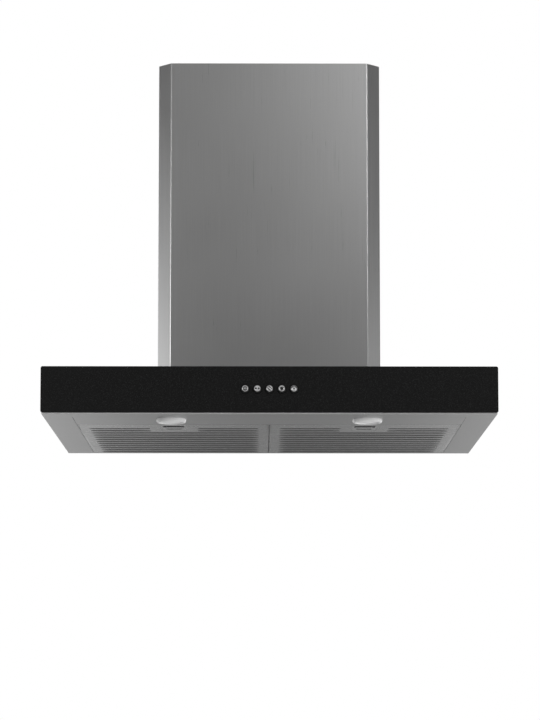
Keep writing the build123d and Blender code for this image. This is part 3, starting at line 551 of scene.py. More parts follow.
# %% [markdown]
# ### The latch and its dark recess
# Little light reaches the recess of a filter latch, and its shade is painted: the cup is painted black
# inside, and so is the face of the slider that the finger pushes. Both are masks in the finish: the cup is
# dark above a height just inside its window, the slider is dark on its front.

# %% Latch steel with painted shade in its recess
CUP_FOOT = 0.12 * MM      # the cup is dark above this
CUP_REAR = -333.0 * MM    # and in front of this
PUSHED_REAR = -333.8 * MM


def steel_with_painted_shade(name, dark):
    """Satin steel with painted shade: it turns to matt black where dark(finish) gives 1."""
    finish = Finish(name)
    mask = dark(finish)
    streaks, _ = brushed(finish)
    steel = LATCH_TONE * (1.0 + STREAK_TONE * streaks)
    finish.feed(base_color=finish.blend(mask, steel, (0.004, 0.004, 0.004)), metallic=1.0 - mask,
                roughness=0.26 + STREAK_ROUGH * streaks + 0.4 * mask)
    return finish.material


def cup_recess_shade(finish):
    """Painted shade: 1 in the front recess, above the rounded edge of its window."""
    _, depth, height = finish.axes()
    return (height > CUP_FOOT) * (depth < CUP_REAR)


def slider_face_shade(finish):
    """Painted shade: 1 on the slider's front face, which the finger pushes."""
    _, depth, _ = finish.axes()
    return depth < PUSHED_REAR


latch_finishes = {"latch_cup": steel_with_painted_shade("latch cup steel", cup_recess_shade),
                  "latch_slider": steel_with_painted_shade("latch slider steel", slider_face_shade)}
print("latch finishes:", ", ".join(latch_finishes))

# %% [markdown]
# ### Chrome and the metals inside
# Chrome is a near-perfect mirror with a little cloudiness. Zinc coating grows in crystals, which a cell
# pattern draws as flat patches of slightly different brightness. Castings, ground shafts and spun aluminium
# have an even grain. The lamp rings are lacquered satin metal, so they mirror little and are pale by
# themselves.

# %% Chrome and plain metals
CRYSTALS = 130.0          # zinc crystals per metre


def chrome(name):
    """Bright plated metal with faint polishing haze."""
    finish = Finish(name, metallic=1.0)
    haze = finish.noise(900.0)
    finish.feed(base_color=0.70 + 0.06 * haze, roughness=0.07 + 0.07 * haze)
    return finish.material


def zinc_sheet(name, tone):
    """Galvanised sheet: crystals of about 8 mm, each a little lighter or darker and more or less shiny."""
    finish = Finish(name, metallic=1.0)
    luck = cells(finish, CRYSTALS)
    dust = finish.noise(60.0, detail=3.0)
    finish.feed(base_color=finish.blend(luck, (tone * 0.8, tone * 0.82, tone * 0.84), (tone, tone, tone)),
                roughness=0.34 + 0.14 * luck + 0.1 * dust)
    return finish.material


def plain_metal(name, colour, rough, grain, relief, metallic):
    """Metal with an even grain of so many grains per metre; a lacquer makes it less metallic."""
    finish = Finish(name, metallic=metallic)
    grains = finish.noise(grain, detail=3.0)
    dark, pale = (tuple(share * c for c in colour) for share in (0.86, 1.1))
    finish.feed(base_color=finish.blend(grains, dark, pale), roughness=rough + 0.16 * (grains - 0.5))
    finish.bump(grains, relief)
    return finish.material


finishes["button_chrome"] = chrome("button chrome")
finishes["galvanised"] = zinc_sheet("galvanised sheet", tone=0.42)
PLAIN_METALS = {
    # slot: name, colour, roughness, grains per metre, relief in metres, metallic
    "bezel_chrome": ("satin lamp ring", (0.72, 0.72, 0.72), 0.50, 800.0, 4e-6, 0.12),
    "motor_zinc": ("motor casting", (0.38, 0.39, 0.40), 0.45, 700.0, 6e-5, 1.0),
    "lamp_cup": ("spun aluminium", (0.55, 0.55, 0.55), 0.35, 300.0, 2e-5, 1.0),
    "shaft_steel": ("ground steel", (0.45, 0.45, 0.46), 0.18, 1500.0, 4e-6, 1.0),
    "spring_steel": ("spring wire", (0.40, 0.40, 0.41), 0.25, 1200.0, 4e-6, 1.0),
    "screw_zinc": ("zinc plated screws", (0.46, 0.46, 0.45), 0.28, 1100.0, 8e-6, 1.0),
}
for slot, settings in PLAIN_METALS.items():
    finishes[slot] = plain_metal(*settings)
print(len(finishes), "finishes so far")

# %% [markdown]
# ### Plastics
# The switch, the terminal box, the fan with its scroll casing, and the duct outlet are moulded plastic.
# Their tools are spark eroded, which leaves a fine even relief on the plastic, and the colour is never
# quite even, so a large soft mottle goes under it.

# %% Plastics
ERODED = 900.0            # grains per metre of the tool's texture
ERODED_RELIEF = 3e-5


def moulded(name, colour, rough):
    """Moulded plastic: an even colour with a faint mottle, over a fine spark-eroded relief."""
    finish = Finish(name, ior=1.49)
    grains = finish.noise(ERODED, detail=3.0)
    mottle = finish.noise(35.0)
    dark, pale = (tuple(share * c for c in colour) for share in (0.9, 1.12))
    finish.feed(base_color=finish.blend(mottle, dark, pale), roughness=rough + 0.12 * (mottle - 0.5))
    finish.bump(grains, ERODED_RELIEF)
    return finish.material


finishes["black_plastic"] = moulded("black plastic", (0.016, 0.016, 0.017), 0.5)
finishes["grey_plastic"] = moulded("grey plastic", (0.30, 0.30, 0.31), 0.55)
print(len(finishes), "finishes so far")

# %% [markdown]
# ### The motor's inner works and the filter mesh
# The motor shows its inner works only when the hood is taken apart: a core stacked from thin steel sheets,
# which a sine wave along the shaft draws as fine rings, and windings of enamelled wire, which are ridges
# round the axis. The mesh in a filter is expanded aluminium: a sheet that is slit and pulled until its
# slits open into diamonds. Thousands of real holes would cost more than they show, so Alpha cuts them out
# of plain sheets.

# %% The motor's core, its windings and the filter mesh
CORE_SHEET = 0.5 * MM
WIRE_PITCH = 0.7 * MM
DIAMOND_LONG, DIAMOND_SHORT = 7 * MM, 4 * MM
STRAND = 0.36
motor_axis = middle("motor_shaft")


def stacked_core():
    """Laminated steel: a ring at every sheet along X, from a sine wave."""
    finish = Finish("stacked core steel", metallic=1.0)
    x, _, _ = finish.axes()
    sheets = (x * (2 * math.pi / CORE_SHEET)).sine()
    rust = finish.noise(160.0, detail=4.0)
    finish.feed(base_color=finish.blend(rust, (0.10, 0.10, 0.105), (0.17, 0.16, 0.155)),
                roughness=0.45 + 0.1 * sheets)
    finish.bump(sheets, 4e-5)
    return finish.material


def wound_wire():
    """Enamelled copper: ridges at the wire's pitch that run round the motor's axis."""
    finish = Finish("enamelled copper wire", metallic=0.85)
    _, y, z = finish.axes(centre=tuple(motor_axis))
    radius = (y * y + z * z).root()
    ridges = (radius * (2 * math.pi / WIRE_PITCH)).sine()
    tint = finish.noise(90.0, detail=3.0)
    finish.feed(base_color=finish.blend(tint, (0.36, 0.13, 0.05), (0.55, 0.22, 0.09)),
                roughness=0.32 + 0.06 * ridges)
    finish.bump(ridges, 1.5e-4)
    return finish.material


def open_mesh():
    """Expanded aluminium: strands round diamond holes, which are cut by Alpha.

    With x and y measured in diamonds, a strand lies where the larger of |frac(x + y) - 0.5| and
    |frac(x - y) - 0.5| is above STRAND.
    """
    finish = Finish("expanded aluminium mesh", metallic=1.0)
    x, y, _ = finish.axes(stretch=(1 / DIAMOND_LONG, 1 / DIAMOND_SHORT, 1.0))
    strand = abs((x + y).fraction() - 0.5).upper(abs((x - y).fraction() - 0.5))
    dull = finish.noise(400.0)
    finish.feed(base_color=0.30 + 0.12 * dull, roughness=0.35 + 0.1 * dull, alpha=strand > STRAND)
    finish.bump(strand, 2e-4)
    return finish.material


finishes["core_steel"] = stacked_core()
finishes["copper"] = wound_wire()
finishes["mesh_aluminium"] = open_mesh()
print(len(finishes), "finishes so far")

# %% [markdown]
# ### Lamp glasses
# Two glasses sit in each lamp. The pane that shows is frosted: light goes through it but no shape does, so
# it is mostly a pale, rough surface. The small capsule behind it is clear quartz.

# %% Lamp glasses
def frosted_pane():
    """Frosted glass: pale and rough, letting part of the light through."""
    finish = Finish("frosted lamp glass", ior=1.45, transmission_weight=0.06)
    frost = finish.noise(1500.0)
    finish.feed(base_color=finish.blend(frost, (0.80, 0.80, 0.80), (0.88, 0.88, 0.88)),
                roughness=0.42 + 0.16 * frost)
    finish.bump(frost, 2e-5)
    return finish.material


def quartz():
    """Clear quartz with a trace of haze."""
    finish = Finish("clear quartz", ior=1.46, transmission_weight=0.9)
    haze = finish.noise(500.0)
    finish.feed(base_color=finish.blend(haze, (0.86, 0.87, 0.86), (0.95, 0.95, 0.94)),
                roughness=0.04 + 0.08 * haze)
    return finish.material


finishes["frosted_glass"] = frosted_pane()
finishes["capsule_glass"] = quartz()
print(len(finishes), "finishes so far")

# %% [markdown]
# ## Dress the frame
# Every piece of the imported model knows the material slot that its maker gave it. We paint them all by that
# slot first. Pieces that are remade below take the same finishes.

# %% Paint every frame piece by its slot
for node, piece in frame["nodes"].items():
    paint(piece, finishes[slot_of[node]])
print(len(frame["nodes"]), "frame pieces painted")

# %% [markdown]
# ## The chimney
# A chimney cover is one sheet of steel, 0.8 mm thick, folded six times: two rear corners, each with a small
# return along the wall, and four soft 45 degree bends that make the chamfered front corners. A Bevel
# modifier could round the frame's sharp corners, but a folding press makes an inner and an outer radius
# that share one centre, and that is just what carrying the sheet's cross-section along a folded line gives.
# The bends matter: they are the bright lines in the picture.

# %% Fold the chimney cover
SHEET = 0.8 * MM
RETURN = 12.0 * MM
BEND = 2.2 * MM           # outer radius of each bend
CHAMFER = 18.0 * MM
BURR = 0.18 * MM          # the sheared edge of a sheet is broken by this much


def sheet_section(low, high):
    """Cross-section of a sheet standing from low to high, as a closed loop of (depth, height)."""
    return [(BURR, low), (SHEET - BURR, low), (SHEET, low + BURR), (SHEET, high - BURR),
            (SHEET - BURR, high), (BURR, high), (0, high - BURR), (0, low + BURR)]


def chimney_line(low, high):
    """The chimney's folded line in plan, from one rear return round the front to the other."""
    x0, y0, x1, y1 = low[0], low[1], high[0], high[1]
    return [(x0 + RETURN, y1), (x0, y1), (x0, y0 + CHAMFER), (x0 + CHAMFER, y0),
            (x1 - CHAMFER, y0), (x1, y0 + CHAMFER), (x1, y1), (x1 - RETURN, y1)]


def folded_cover(name, node):
    """A chimney cover as one folded sheet, standing where the frame's cover stands."""
    low, high = span(node)
    line, inwards = folded_line(chimney_line(low, high), BEND)
    points = carried(sheet_section(low[2], high[2]), line, inwards)
    rows, columns = points.shape[:2]
    faces = grid_faces(rows, columns, wrap_rows=True)
    ends = [[row * columns for row in range(rows)], [row * columns + columns - 1 for row in range(rows)]]
    return shape_piece(name, points, faces + ends, node)


cover = folded_cover("chimney_cover_sheet", "chimney_cover")
print("chimney cover:", len(cover.data.polygons), "faces")

# %% [markdown]
# The cover stands on two tabs that are screwed to the canopy, out of sight. The upper cover, nested inside
# the first, has a block of vent slots near its top on each side. It keeps the frame's shape, with its edges
# rounded.

# %% Tabs and the upper cover
def plate(low, high):
    """A thin level plate with broken edges: four stacked rectangles, the outer two drawn in by the burr."""
    inset = np.array([BURR, 0, 0, BURR])
    heights = np.array([low[2], low[2] + BURR, high[2] - BURR, high[2]])
    x0, x1 = low[0] + inset, high[0] - inset
    y0, y1 = low[1] + inset, high[1] - inset
    return np.stack([np.stack([x0, y0, heights], -1), np.stack([x1, y0, heights], -1),
                     np.stack([x1, y1, heights], -1), np.stack([x0, y1, heights], -1)], 1)


TAB_REACH = 14.0 * MM
TAB_HALF = 20.0 * MM
TAB_Y = -130.0 * MM
cover_low, cover_high = span("chimney_cover")
for side_name, side in SIDES.items():
    left, right = sorted((side * (cover_high[0] - SHEET / 2), side * (cover_high[0] - SHEET - TAB_REACH)))
    corners = plate((left, TAB_Y - TAB_HALF, cover_low[2]), (right, TAB_Y + TAB_HALF, cover_low[2] + SHEET))
    faces = grid_faces(*corners.shape[:2], wrap_columns=True) + [[0, 1, 2, 3], [12, 13, 14, 15]]
    tab = shape_piece(f"chimney_tab_{side_name}", corners, faces, "chimney_cover", replaced=False)
    print(tab.name, "reaches", TAB_REACH / MM, "mm inwards")

softened("chimney_extension", 0.2 * MM)

# %% [markdown]
# ## Rounded sheet and glass
# The canopy, the light strip, the filters' frames and the latches keep their shape and get broken edges.
# The panel's edges are ground to a slim arris. Each width is what the real edge has, so nothing looks
# inflated.

# %% Break the edges of the sheet parts
softened("canopy_shell", 0.25 * MM, segments=3)
softened("front_panel", 0.3 * MM)
softened("light_strip", 0.35 * MM)
for side_name in SIDES:
    softened(f"filter_frame_{side_name}", 0.2 * MM)
    for part_name, width in {"latch_cup": 0.12 * MM, "latch_slider": 0.15 * MM}.items():
        paint(softened(f"{part_name}_{side_name}", width), latch_finishes[part_name])

# %% [markdown]
# ## Filter faces
# A grease filter's face is a thin sheet with rows of long slots. The press that cuts a slot also turns its
# rim inwards, so each slot is drawn with a soft lip: the flat sheet starts a little outside the slot and
# rolls up through a quarter circle. The first two rows are broken in the middle to leave room for the
# latch.

# %% Lay out the slots
PRESS = 1.3 * MM            # radius of the rolled lip
SLOT_WIDTH = 5.5 * MM
SLOT_PITCH = 27.2 * MM
FIRST_SLOT = 51.4 * MM      # behind the front edge of the face
BROKEN = 1.5 * SLOT_PITCH   # rows nearer than this to the first one are broken about the latch
SLOT_MARGIN = 13.9 * MM     # from the face's side to a slot's end
LATCH_BREAK = 33.0 * MM     # half of what is left plain about the latch


def stadium(centre, length, width, steps=8):
    """Outline of a slot: two half circles of half the width, joined by straight sides."""
    half, r = (length - width) / 2, width / 2
    a = np.linspace(-np.pi / 2, np.pi / 2, steps + 1)
    right = np.stack([centre[0] + half + r * np.cos(a), centre[1] + r * np.sin(a)], -1)
    left = np.stack([centre[0] - half - r * np.cos(a), centre[1] - r * np.sin(a)], -1)
    return np.concatenate([right, left])


def rectangle(low, high):
    """The four corners of a rectangle."""
    return np.array([(low[0], low[1]), (high[0], low[1]), (high[0], high[1]), (low[0], high[1])])


def slot_list(low, high, latch_x):
    """(centre, length) of every slot of one face: full rows, and two short slots in each broken row."""
    found = []
    reach = high[0] - low[0] - 2 * SLOT_MARGIN
    row_y = low[1] + FIRST_SLOT
    while row_y + SLOT_WIDTH < high[1]:
        if row_y < low[1] + FIRST_SLOT + BROKEN:
            short = reach / 2 - LATCH_BREAK
            for side in SIDES.values():
                found.append(((latch_x + side * (LATCH_BREAK + short / 2), row_y), short))
        else:
            found.append(((latch_x, row_y), reach))
        row_y += SLOT_PITCH
    return found


def in_a_hole(point, slots, low, high, margin=0.0):
    """Whether a point of the face is in the latch's opening, or within a margin of a slot's outer rim."""
    if np.all(point > low[:2]) and np.all(point < high[:2]):
        return True
    for (x, y), length in slots:
        beyond = max(abs(point[0] - x) - (length - SLOT_WIDTH) / 2, 0.0)
        if math.hypot(beyond, point[1] - y) < SLOT_WIDTH / 2 + PRESS + margin:
            return True
    return False


print("a slot with its lip takes", round((SLOT_WIDTH + 2 * PRESS) / MM, 1), "of", SLOT_PITCH / MM, "mm")

# %% [markdown]
# Between two slots the press also sinks the bar that is left, by a fraction of a millimetre, which stiffens
# the sheet. That shallow trough is why the face shows broad light and dark bars between the thin lines of
# the slots. It is a cosine over the slots' pitch, which fades out at the slots' ends and leaves the latch's
# place plain.

# %% Sink the bars
HOLLOW = 0.6 * MM         # how far the middle of a bar is pressed in
FIELD_END = 112.0 * MM    # from the latch's middle to where the bars run out
FADE = 8.0 * MM           # half of the width over which they run out


def smooth_step(value, start, end):
    """0 before start, 1 after end, and 3 s^2 - 2 s^3 between, with s from 0 to 1."""
    s = np.clip((value - start) / (end - start), 0.0, 1.0)
    return s * s * (3 - 2 * s)


def hollow(points, middle_x, first_y, rear_y):
    """How far each point of a face is pressed in: HOLLOW * field * (1 - cos(2 pi y / pitch)) / 2.

    y counts from the first row. field is 1 between the slots' ends, falls to 0 beyond them, and is 0 on the
    plain place about the latch.
    """
    x, y = np.abs(points[:, 0] - middle_x), points[:, 1] - first_y
    field = smooth_step(-x, -FIELD_END - FADE, -FIELD_END + FADE) * (y > 0) * (points[:, 1] < rear_y)
    plain = smooth_step(-x, -LATCH_BREAK - FADE, -LATCH_BREAK) * (y < BROKEN)
    return HOLLOW * field * (1 - plain) * (1 - np.cos(2 * np.pi * y / SLOT_PITCH)) / 2


# %% [markdown]
# The bars between the slots carry painted shade, which grows darker towards the back. The lips of the slots
# are in shadow, which is painted as well. Both are masks over the filter's brushed steel, worked out from the
# same sizes as the shape.

# %% Steel of the pressed faces
LIP_FOOT = 0.17 * MM        # the lips lie above this, and only near the slots
NEAR_SLOT = 0.5             # cosine of the place within the pitch
SHADE_DEPTH = 280.0 * MM   # from the first row to where the bars' painted shade is darkest
BAR_SHADE = 0.20            # share of the tone that the bars lose at the first row
BAR_SHADE_MORE = 0.38       # and how much more they lose at the back
LIP_SHADE = 0.95            # share that the lips lose at the first row
LIP_SHADE_LESS = 0.35       # and how much less they lose at the back, where the bars are dark themselves
FACE_ROUGH = 0.27


def louvre_steel(side_name, middle_x, first_y):
    """Filter steel with painted shade: darker between the slots' ends and darker still on the lips."""
    finish = Finish(f"louvre steel {side_name}", metallic=1.0)
    x, y, z = finish.axes(centre=(middle_x, first_y, 0.0))
    grey, roughness, streaks = steel_values(finish, FILTER_TONE, FACE_ROUGH)
    ends = finish.smooth_step(abs(x), FIELD_END - FADE, FIELD_END + FADE, before=1.0, after=0.0)
    start = finish.smooth_step(y, -0.3 * SLOT_PITCH, 0.2 * SLOT_PITCH)
    field = ends * start * (1.0 - (abs(x) < LATCH_BREAK) * (y < 1.45 * SLOT_PITCH))
    rearwards = (y / SHADE_DEPTH).lower(1.0).upper(0.0)
    near = (y * (2 * math.pi / SLOT_PITCH) + math.pi / 2).sine()
    lip = (z > LIP_FOOT) * (near > NEAR_SLOT) * (LIP_SHADE - LIP_SHADE_LESS * rearwards)
    bars = field * (BAR_SHADE + BAR_SHADE_MORE * rearwards)
    finish.feed(base_color=grey * (1.0 - bars) * (1.0 - lip), roughness=roughness)
    finish.bump(streaks, SCRATCH_RELIEF)
    return finish.material


# %% [markdown]
# The flat part of the face is one polygon with holes, which a constrained triangulation fills. It also
# takes in a grid of points between the slots, because only a face with points inside it can be sunk. The
# lips are grids of their own that share the slots' outlines. A Solidify modifier then gives the sheet its
# thickness.

# %% Press the faces
FACE_SHEET = 0.5 * MM
GRID_X = 9.0 * MM         # spacing of the points that carry the pressed shape
GRID_Y = 2.27 * MM
GRID_START = 3.0 * MM     # those points stay this far from the face's first edges
GRID_STOP = 2.0 * MM      # and at least this far from its last ones
KEEP_INSIDE = 1           # the triangulation's output type: all triangles inside the outer loop
SAME_POINT = 1e-7         # metres: nearer points count as one
LIP_STEPS = 6


def inner_points(low, high, cup_low, cup_high, slots):
    """Points of a grid over the face, without those within a millimetre of an opening."""
    across, along = np.meshgrid(np.arange(low[0] + GRID_START, high[0] - GRID_STOP, GRID_X),
                                np.arange(low[1] + GRID_START, high[1] - GRID_STOP, GRID_Y))
    grid = np.stack([across.ravel(), along.ravel()], -1)
    return np.array([point for point in grid if not in_a_hole(point, slots, cup_low - MM, cup_high + MM, MM)])


def flat_face(low, high, cup_low, cup_high, slots):
    """Points and triangles of the flat part: a rectangle less the latch's opening and the slots' rims."""
    rims = [stadium(centre, length + 2 * PRESS, SLOT_WIDTH + 2 * PRESS) for centre, length in slots]
    loops = [rectangle(low, high), rectangle(cup_low, cup_high)] + rims
    starts = np.cumsum([0] + [len(loop) for loop in loops])
    edges = [(start + i, start + (i + 1) % len(loop)) for start, loop in zip(starts, loops)
             for i in range(len(loop))]
    given = np.concatenate(loops + [inner_points(low, high, cup_low, cup_high, slots)])
    given = [tuple(point) for point in given]
    places, _, triangles = delaunay_2d_cdt(given, edges, [], KEEP_INSIDE, SAME_POINT)[:3]
    sheet = np.array([tuple(place) for place in places])
    faces = [list(corners) for corners in triangles
             if not in_a_hole(sheet[list(corners)].mean(axis=0), slots, cup_low, cup_high)]
    return np.column_stack([sheet, np.full(len(sheet), low[2])]), faces


def slot_lip(centre, length, height):
    """Rows of points of a slot's lip, a quarter circle in section.

    At the angle t, the outline is the slot's widened by 2 * PRESS * (1 - sin t), PRESS * (1 - cos t) up.
    """
    turn = np.radians(np.linspace(0, 90, LIP_STEPS))
    wider = 2 * PRESS * (1 - np.sin(turn))
    outlines = np.array([stadium(centre, length + more, SLOT_WIDTH + more) for more in wider])
    lift = height + PRESS * (1 - np.cos(turn))
    return np.concatenate([outlines, np.broadcast_to(lift[:, None, None], (*outlines.shape[:2], 1))], -1)


def filter_face(side_name):
    """The pressed face of one filter: its flat part and the lips of its slots, with its bars sunk."""
    node = f"filter_face_{side_name}"
    low, high = span(node)
    cup_low, cup_high = span(f"latch_cup_{side_name}")
    middle_x = (cup_low[0] + cup_high[0]) / 2
    slots = slot_list(low, high, middle_x)
    first_y, rear_y = slots[0][0][1], slots[-1][0][1]
    sheet, faces = flat_face(low, high, cup_low, cup_high, slots)
    points = [sheet]
    count = len(sheet)
    for centre, length in slots:
        lip = slot_lip(centre, length, low[2])
        points.append(lip.reshape(-1, 3))
        faces += grid_faces(*lip.shape[:2], wrap_columns=True, first=count)
        count += lip.shape[0] * lip.shape[1]
    points = np.concatenate(points)
    points[:, 2] += hollow(points, middle_x, first_y, rear_y)
    mesh = bpy.data.meshes.new(f"{node}_pressed")
    mesh.from_pydata(points.tolist(), [], faces)
    tidy_mesh(mesh, merge=2e-6)
    shade(mesh, sharp_degrees=40.0)
    piece = add_piece(f"{node}_pressed", mesh, node)
    faces_down = np.mean([polygon.normal.z * polygon.area for polygon in mesh.polygons]) < 0
    thicken = piece.modifiers.new("sheet", "SOLIDIFY")
    thicken.thickness = FACE_SHEET
    thicken.offset = -1.0 if faces_down else 1.0
    even = piece.modifiers.new("flat sheet shades flat", "WEIGHTED_NORMAL")
    even.keep_sharp = True
    even.weight = 100
    paint(piece, louvre_steel(side_name, middle_x, first_y))
    return piece


for side_name in SIDES:
    face = filter_face(side_name)
    print(face.name, len(face.data.polygons), "faces")

# %% [markdown]
# ## Buttons
# Five chromed caps stand a few millimetres out of the panel, each domed and marked with a dark symbol. A
# cap is a revolved profile: dome, side, back and the stem that reaches into the switch. The dome is a slice
# of a sphere whose radius follows from the cap's radius r and the dome's height h, as (r*r + h*h) / (2*h).

# %% Turn the button caps
DOME = 2.4 * MM
CAP_EDGE = 0.35 * MM      # rounding between dome and side
STEM = 4.0 * MM
SLIMMER = 0.1 * MM        # the real cap leaves a dark gap in its hole
CAP_LENGTH = 5.4 * MM     # from the top of the dome to the back of the cap
CAP_STEPS = 48
TURNED_SHARP = 50.0       # degrees: turned pieces shade smoothly up to this bend


def cap_profile(radius, stem, front, back, end):
    """Profile of a cap as (radius, distance from the glass towards the room)."""
    sphere = (radius ** 2 + DOME ** 2) / (2 * DOME)
    rim = radius - CAP_EDGE
    reach = math.degrees(math.asin(rim / sphere))
    dome = arc((0, front - sphere), sphere, 90, 90 - reach, steps=14)
    side_top = dome[-1][1] - CAP_EDGE
    edge = arc((rim, side_top), CAP_EDGE, 90 - reach, 0, steps=4)[1:]
    rest = [(radius, back + CAP_EDGE), (radius - CAP_EDGE, back), (stem, back), (stem, end), (0, end)]
    return np.concatenate([dome, edge, rest])


for number, centre in enumerate(button_centres, start=1):
    low, high = span(f"button_{number}")
    radius = (high[0] - low[0]) / 2 - SLIMMER
    profile = cap_profile(radius, STEM, 0.0, -CAP_LENGTH, -(high[1] - low[1]))
    points = revolved(profile, (centre[0], low[1], centre[2]), (0, -1, 0), CAP_STEPS)
    cap = shape_piece(f"button_cap_{number}", points, grid_faces(*points.shape[:2], wrap_columns=True),
                      f"button_{number}", sharp_degrees=TURNED_SHARP)
    print(cap.name, round(2 * radius / MM, 1), "mm across")

# %% [markdown]
# The symbols are printed, so they are a mask in the cap's finish and not a shape. Each is a little drawing
# in millimetres about a point just above the cap's centre, made from distances: a ring is where the
# distance from that point is near one value, a bar is where the distance from a line is small. They are
# plain generic marks: a ring with a stroke for the lamps, then two dots, two strokes and three crossed
# blades for the speeds, and a dot under an arch for off. The lower edge of each dome would mirror a dark
# worktop, which the set doesn't have, so a painted reflection darkens it.

# %% Print the symbols
def ring(u, v, radius, width):
    """1 on a ring about the centre."""
    return abs((u * u + v * v).root() - radius) < width / 2


def dot(u, v, at, radius):
    """1 inside a disc."""
    du, dv = u - at[0], v - at[1]
    return (du * du + dv * dv).root() < radius


def bar(u, v, angle, offset, width, half):
    """1 on a bar at an angle in degrees, offset sideways from the centre."""
    c, s = math.cos(math.radians(angle)), math.sin(math.radians(angle))
    along = u * c + v * s
    across = v * c - u * s - offset
    return (abs(across) < width / 2) * (abs(along) < half)


def symbol(number, u, v):
    """The mark of one button, as 1 where it is printed."""
    if number == 1:
        return ring(u, v, 2.3, 1.3).upper(bar(u, v, 90, 0, 1.2, 1.4))
    if number == 2:
        return dot(u, v, (-1.9, 0.0), 1.3).upper(dot(u, v, (1.9, 0.0), 1.3))
    if number == 3:
        return bar(u, v, -38, 1.6, 1.3, 2.9).upper(bar(u, v, -38, -1.3, 1.3, 2.9))
    if number == 4:
        blades = bar(u, v, 20, 0, 1.5, 2.8).upper(bar(u, v, 80, 0, 1.5, 2.8))
        return blades.upper(bar(u, v, 140, 0, 1.5, 2.8))
    return dot(u, v, (0, 0.1), 1.1).upper(ring(u, v, 3.0, 1.2) * (v > -0.4))


MARK_RISE = 0.8           # the marks' middle is this far above the cap's, in millimetres
FOOT_START = 3.5          # from there a painted reflection darkens the cap, fully from FOOT_END on, in millimetres
FOOT_END = 4.3


def marked_chrome(number, centre):
    """Chrome that turns to matt black paint where the button's symbol is, and to dark at its foot as a
    painted reflection.
    """
    finish = Finish(f"marked chrome {number}")
    x, _, height = finish.axes(centre=tuple(centre), stretch=(1 / MM, 1 / MM, 1 / MM))
    z = height - MARK_RISE
    mark = symbol(number, x, z)
    # the dome's foot: a painted reflection of a dark worktop below, which the set doesn't have
    foot = finish.smooth_step((x * x + z * z).root(), FOOT_START, FOOT_END)
    haze = finish.noise(900.0)
    dark = mark.upper(foot)
    finish.feed(base_color=finish.blend(dark, (0.58, 0.58, 0.58), (0.002, 0.002, 0.002)),
                metallic=0.6 * (1.0 - dark), roughness=0.30 + 0.06 * haze + 0.2 * mark)
    return finish.material


for number, centre in enumerate(button_centres, start=1):
    paint(bpy.data.objects[f"button_cap_{number}"], marked_chrome(number, centre))
print("buttons marked")

# %% [markdown]
# ## Springs
# Behind each button and in each latch sits a coil spring, which the frame holds as a plain tube of the same
# size. A coil is a tube that follows a helix, with its turns closed at both ends so that it can stand flat.

# %% Wind the springs
STEPS_A_TURN = 20
END_CLIMB = 0.24          # the end turns climb this share of an even turn


def coil_line(centre, radius, start, end, turns):
    """A helix along Y: x and z go round the circle while y climbs, slowly in the first and last turn."""
    t = np.linspace(0, 1, STEPS_A_TURN * turns + 1)
    closed = 1.0 / turns
    slow = END_CLIMB * closed
    climb = np.interp(t, [0, closed, 1 - closed, 1], [0, slow, 1 - slow, 1])
    angle = 2 * np.pi * turns * t
    outwards = np.stack([np.cos(angle), np.zeros_like(angle), np.sin(angle)], -1)
    line = outwards * radius + np.stack([np.full_like(t, centre[0]), start + (end - start) * climb,
                                         np.full_like(t, centre[1])], -1)
    return line, outwards


def coil(node, wire, turns):
    """A coil spring in the place of the frame's tube."""
    low, high = span(node)
    radius = (high[0] - low[0]) / 2 - wire / 2
    centre = ((low[0] + high[0]) / 2, (low[2] + high[2]) / 2)
    line, outwards = coil_line(centre, radius, low[1] + wire / 2, high[1] - wire / 2, turns)
    points = tube(line, outwards, wire / 2)
    rows, columns = points.shape[:2]
    ends = [list(range(columns)), [rows * columns - 1 - i for i in range(columns)]]
    piece = shape_piece(f"{node}_coil", points, grid_faces(rows, columns, wrap_columns=True) + ends, node,
                        sharp_degrees=60.0)
    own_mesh(piece)


for number in range(1, 6):
    coil(f"button_spring_{number}", wire=0.55 * MM, turns=7)
for side_name in SIDES:
    coil(f"latch_spring_{side_name}", wire=0.35 * MM, turns=14)

# %% [markdown]
# ## Lamps
# Each lamp shows as a satin ring round a frosted pane. The ring's section is a closed loop: a shoulder that
# is a quarter of an ellipse, a lip that turns in under the glass, and a neck that goes up through the
# strip. The pane bulges down through the ring's opening as a slice of a sphere, like a button's dome.

# %% Turn the lamp rings and panes
NECK = 18.2 * MM
NECK_TOP = 6.0 * MM
SEAT = -2.6 * MM
OPENING = 16.4 * MM
SHOULDER = 2.8 * MM       # width of the elliptical shoulder
LIP = 0.6 * MM
GLASS_PLAY = 0.1 * MM     # between ring and pane
BULGE = 2.1 * MM          # height of the pane's slice of a sphere
PANE_EDGE = 0.3 * MM      # rounding of the pane's upper edge
LAMP_STEPS = 96


def ring_section(outer, bottom, seat_radius):
    """Closed section of a lamp ring as (radius, height)."""
    quarter = arc((0, 0), 1.0, 0, -90, steps=10)
    shoulder = quarter * [SHOULDER, -bottom - BURR] + [outer - SHOULDER, -BURR]
    lip = arc((OPENING + LIP, bottom + LIP), LIP, -90, -180)
    return np.concatenate([[(NECK, 0.0), (outer, 0.0)], shoulder, lip,
                           [(OPENING, SEAT), (seat_radius, SEAT), (seat_radius, NECK_TOP), (NECK, NECK_TOP)]])


def pane_section(radius, thickness):
    """Section of a pane as (radius, height): the bulge, a level step, a rounded upper edge and a flat top."""
    edge = OPENING - GLASS_PLAY
    sphere = (edge ** 2 + BULGE ** 2) / (2 * BULGE)
    reach = math.degrees(math.asin(edge / sphere))
    bulge = arc((0, sphere), sphere, -90, reach - 90, steps=16)
    corner = arc((radius - PANE_EDGE, thickness - PANE_EDGE), PANE_EDGE, 0, 90, steps=3)
    return np.concatenate([bulge, [(radius, BULGE)], corner, [(0, thickness)]])


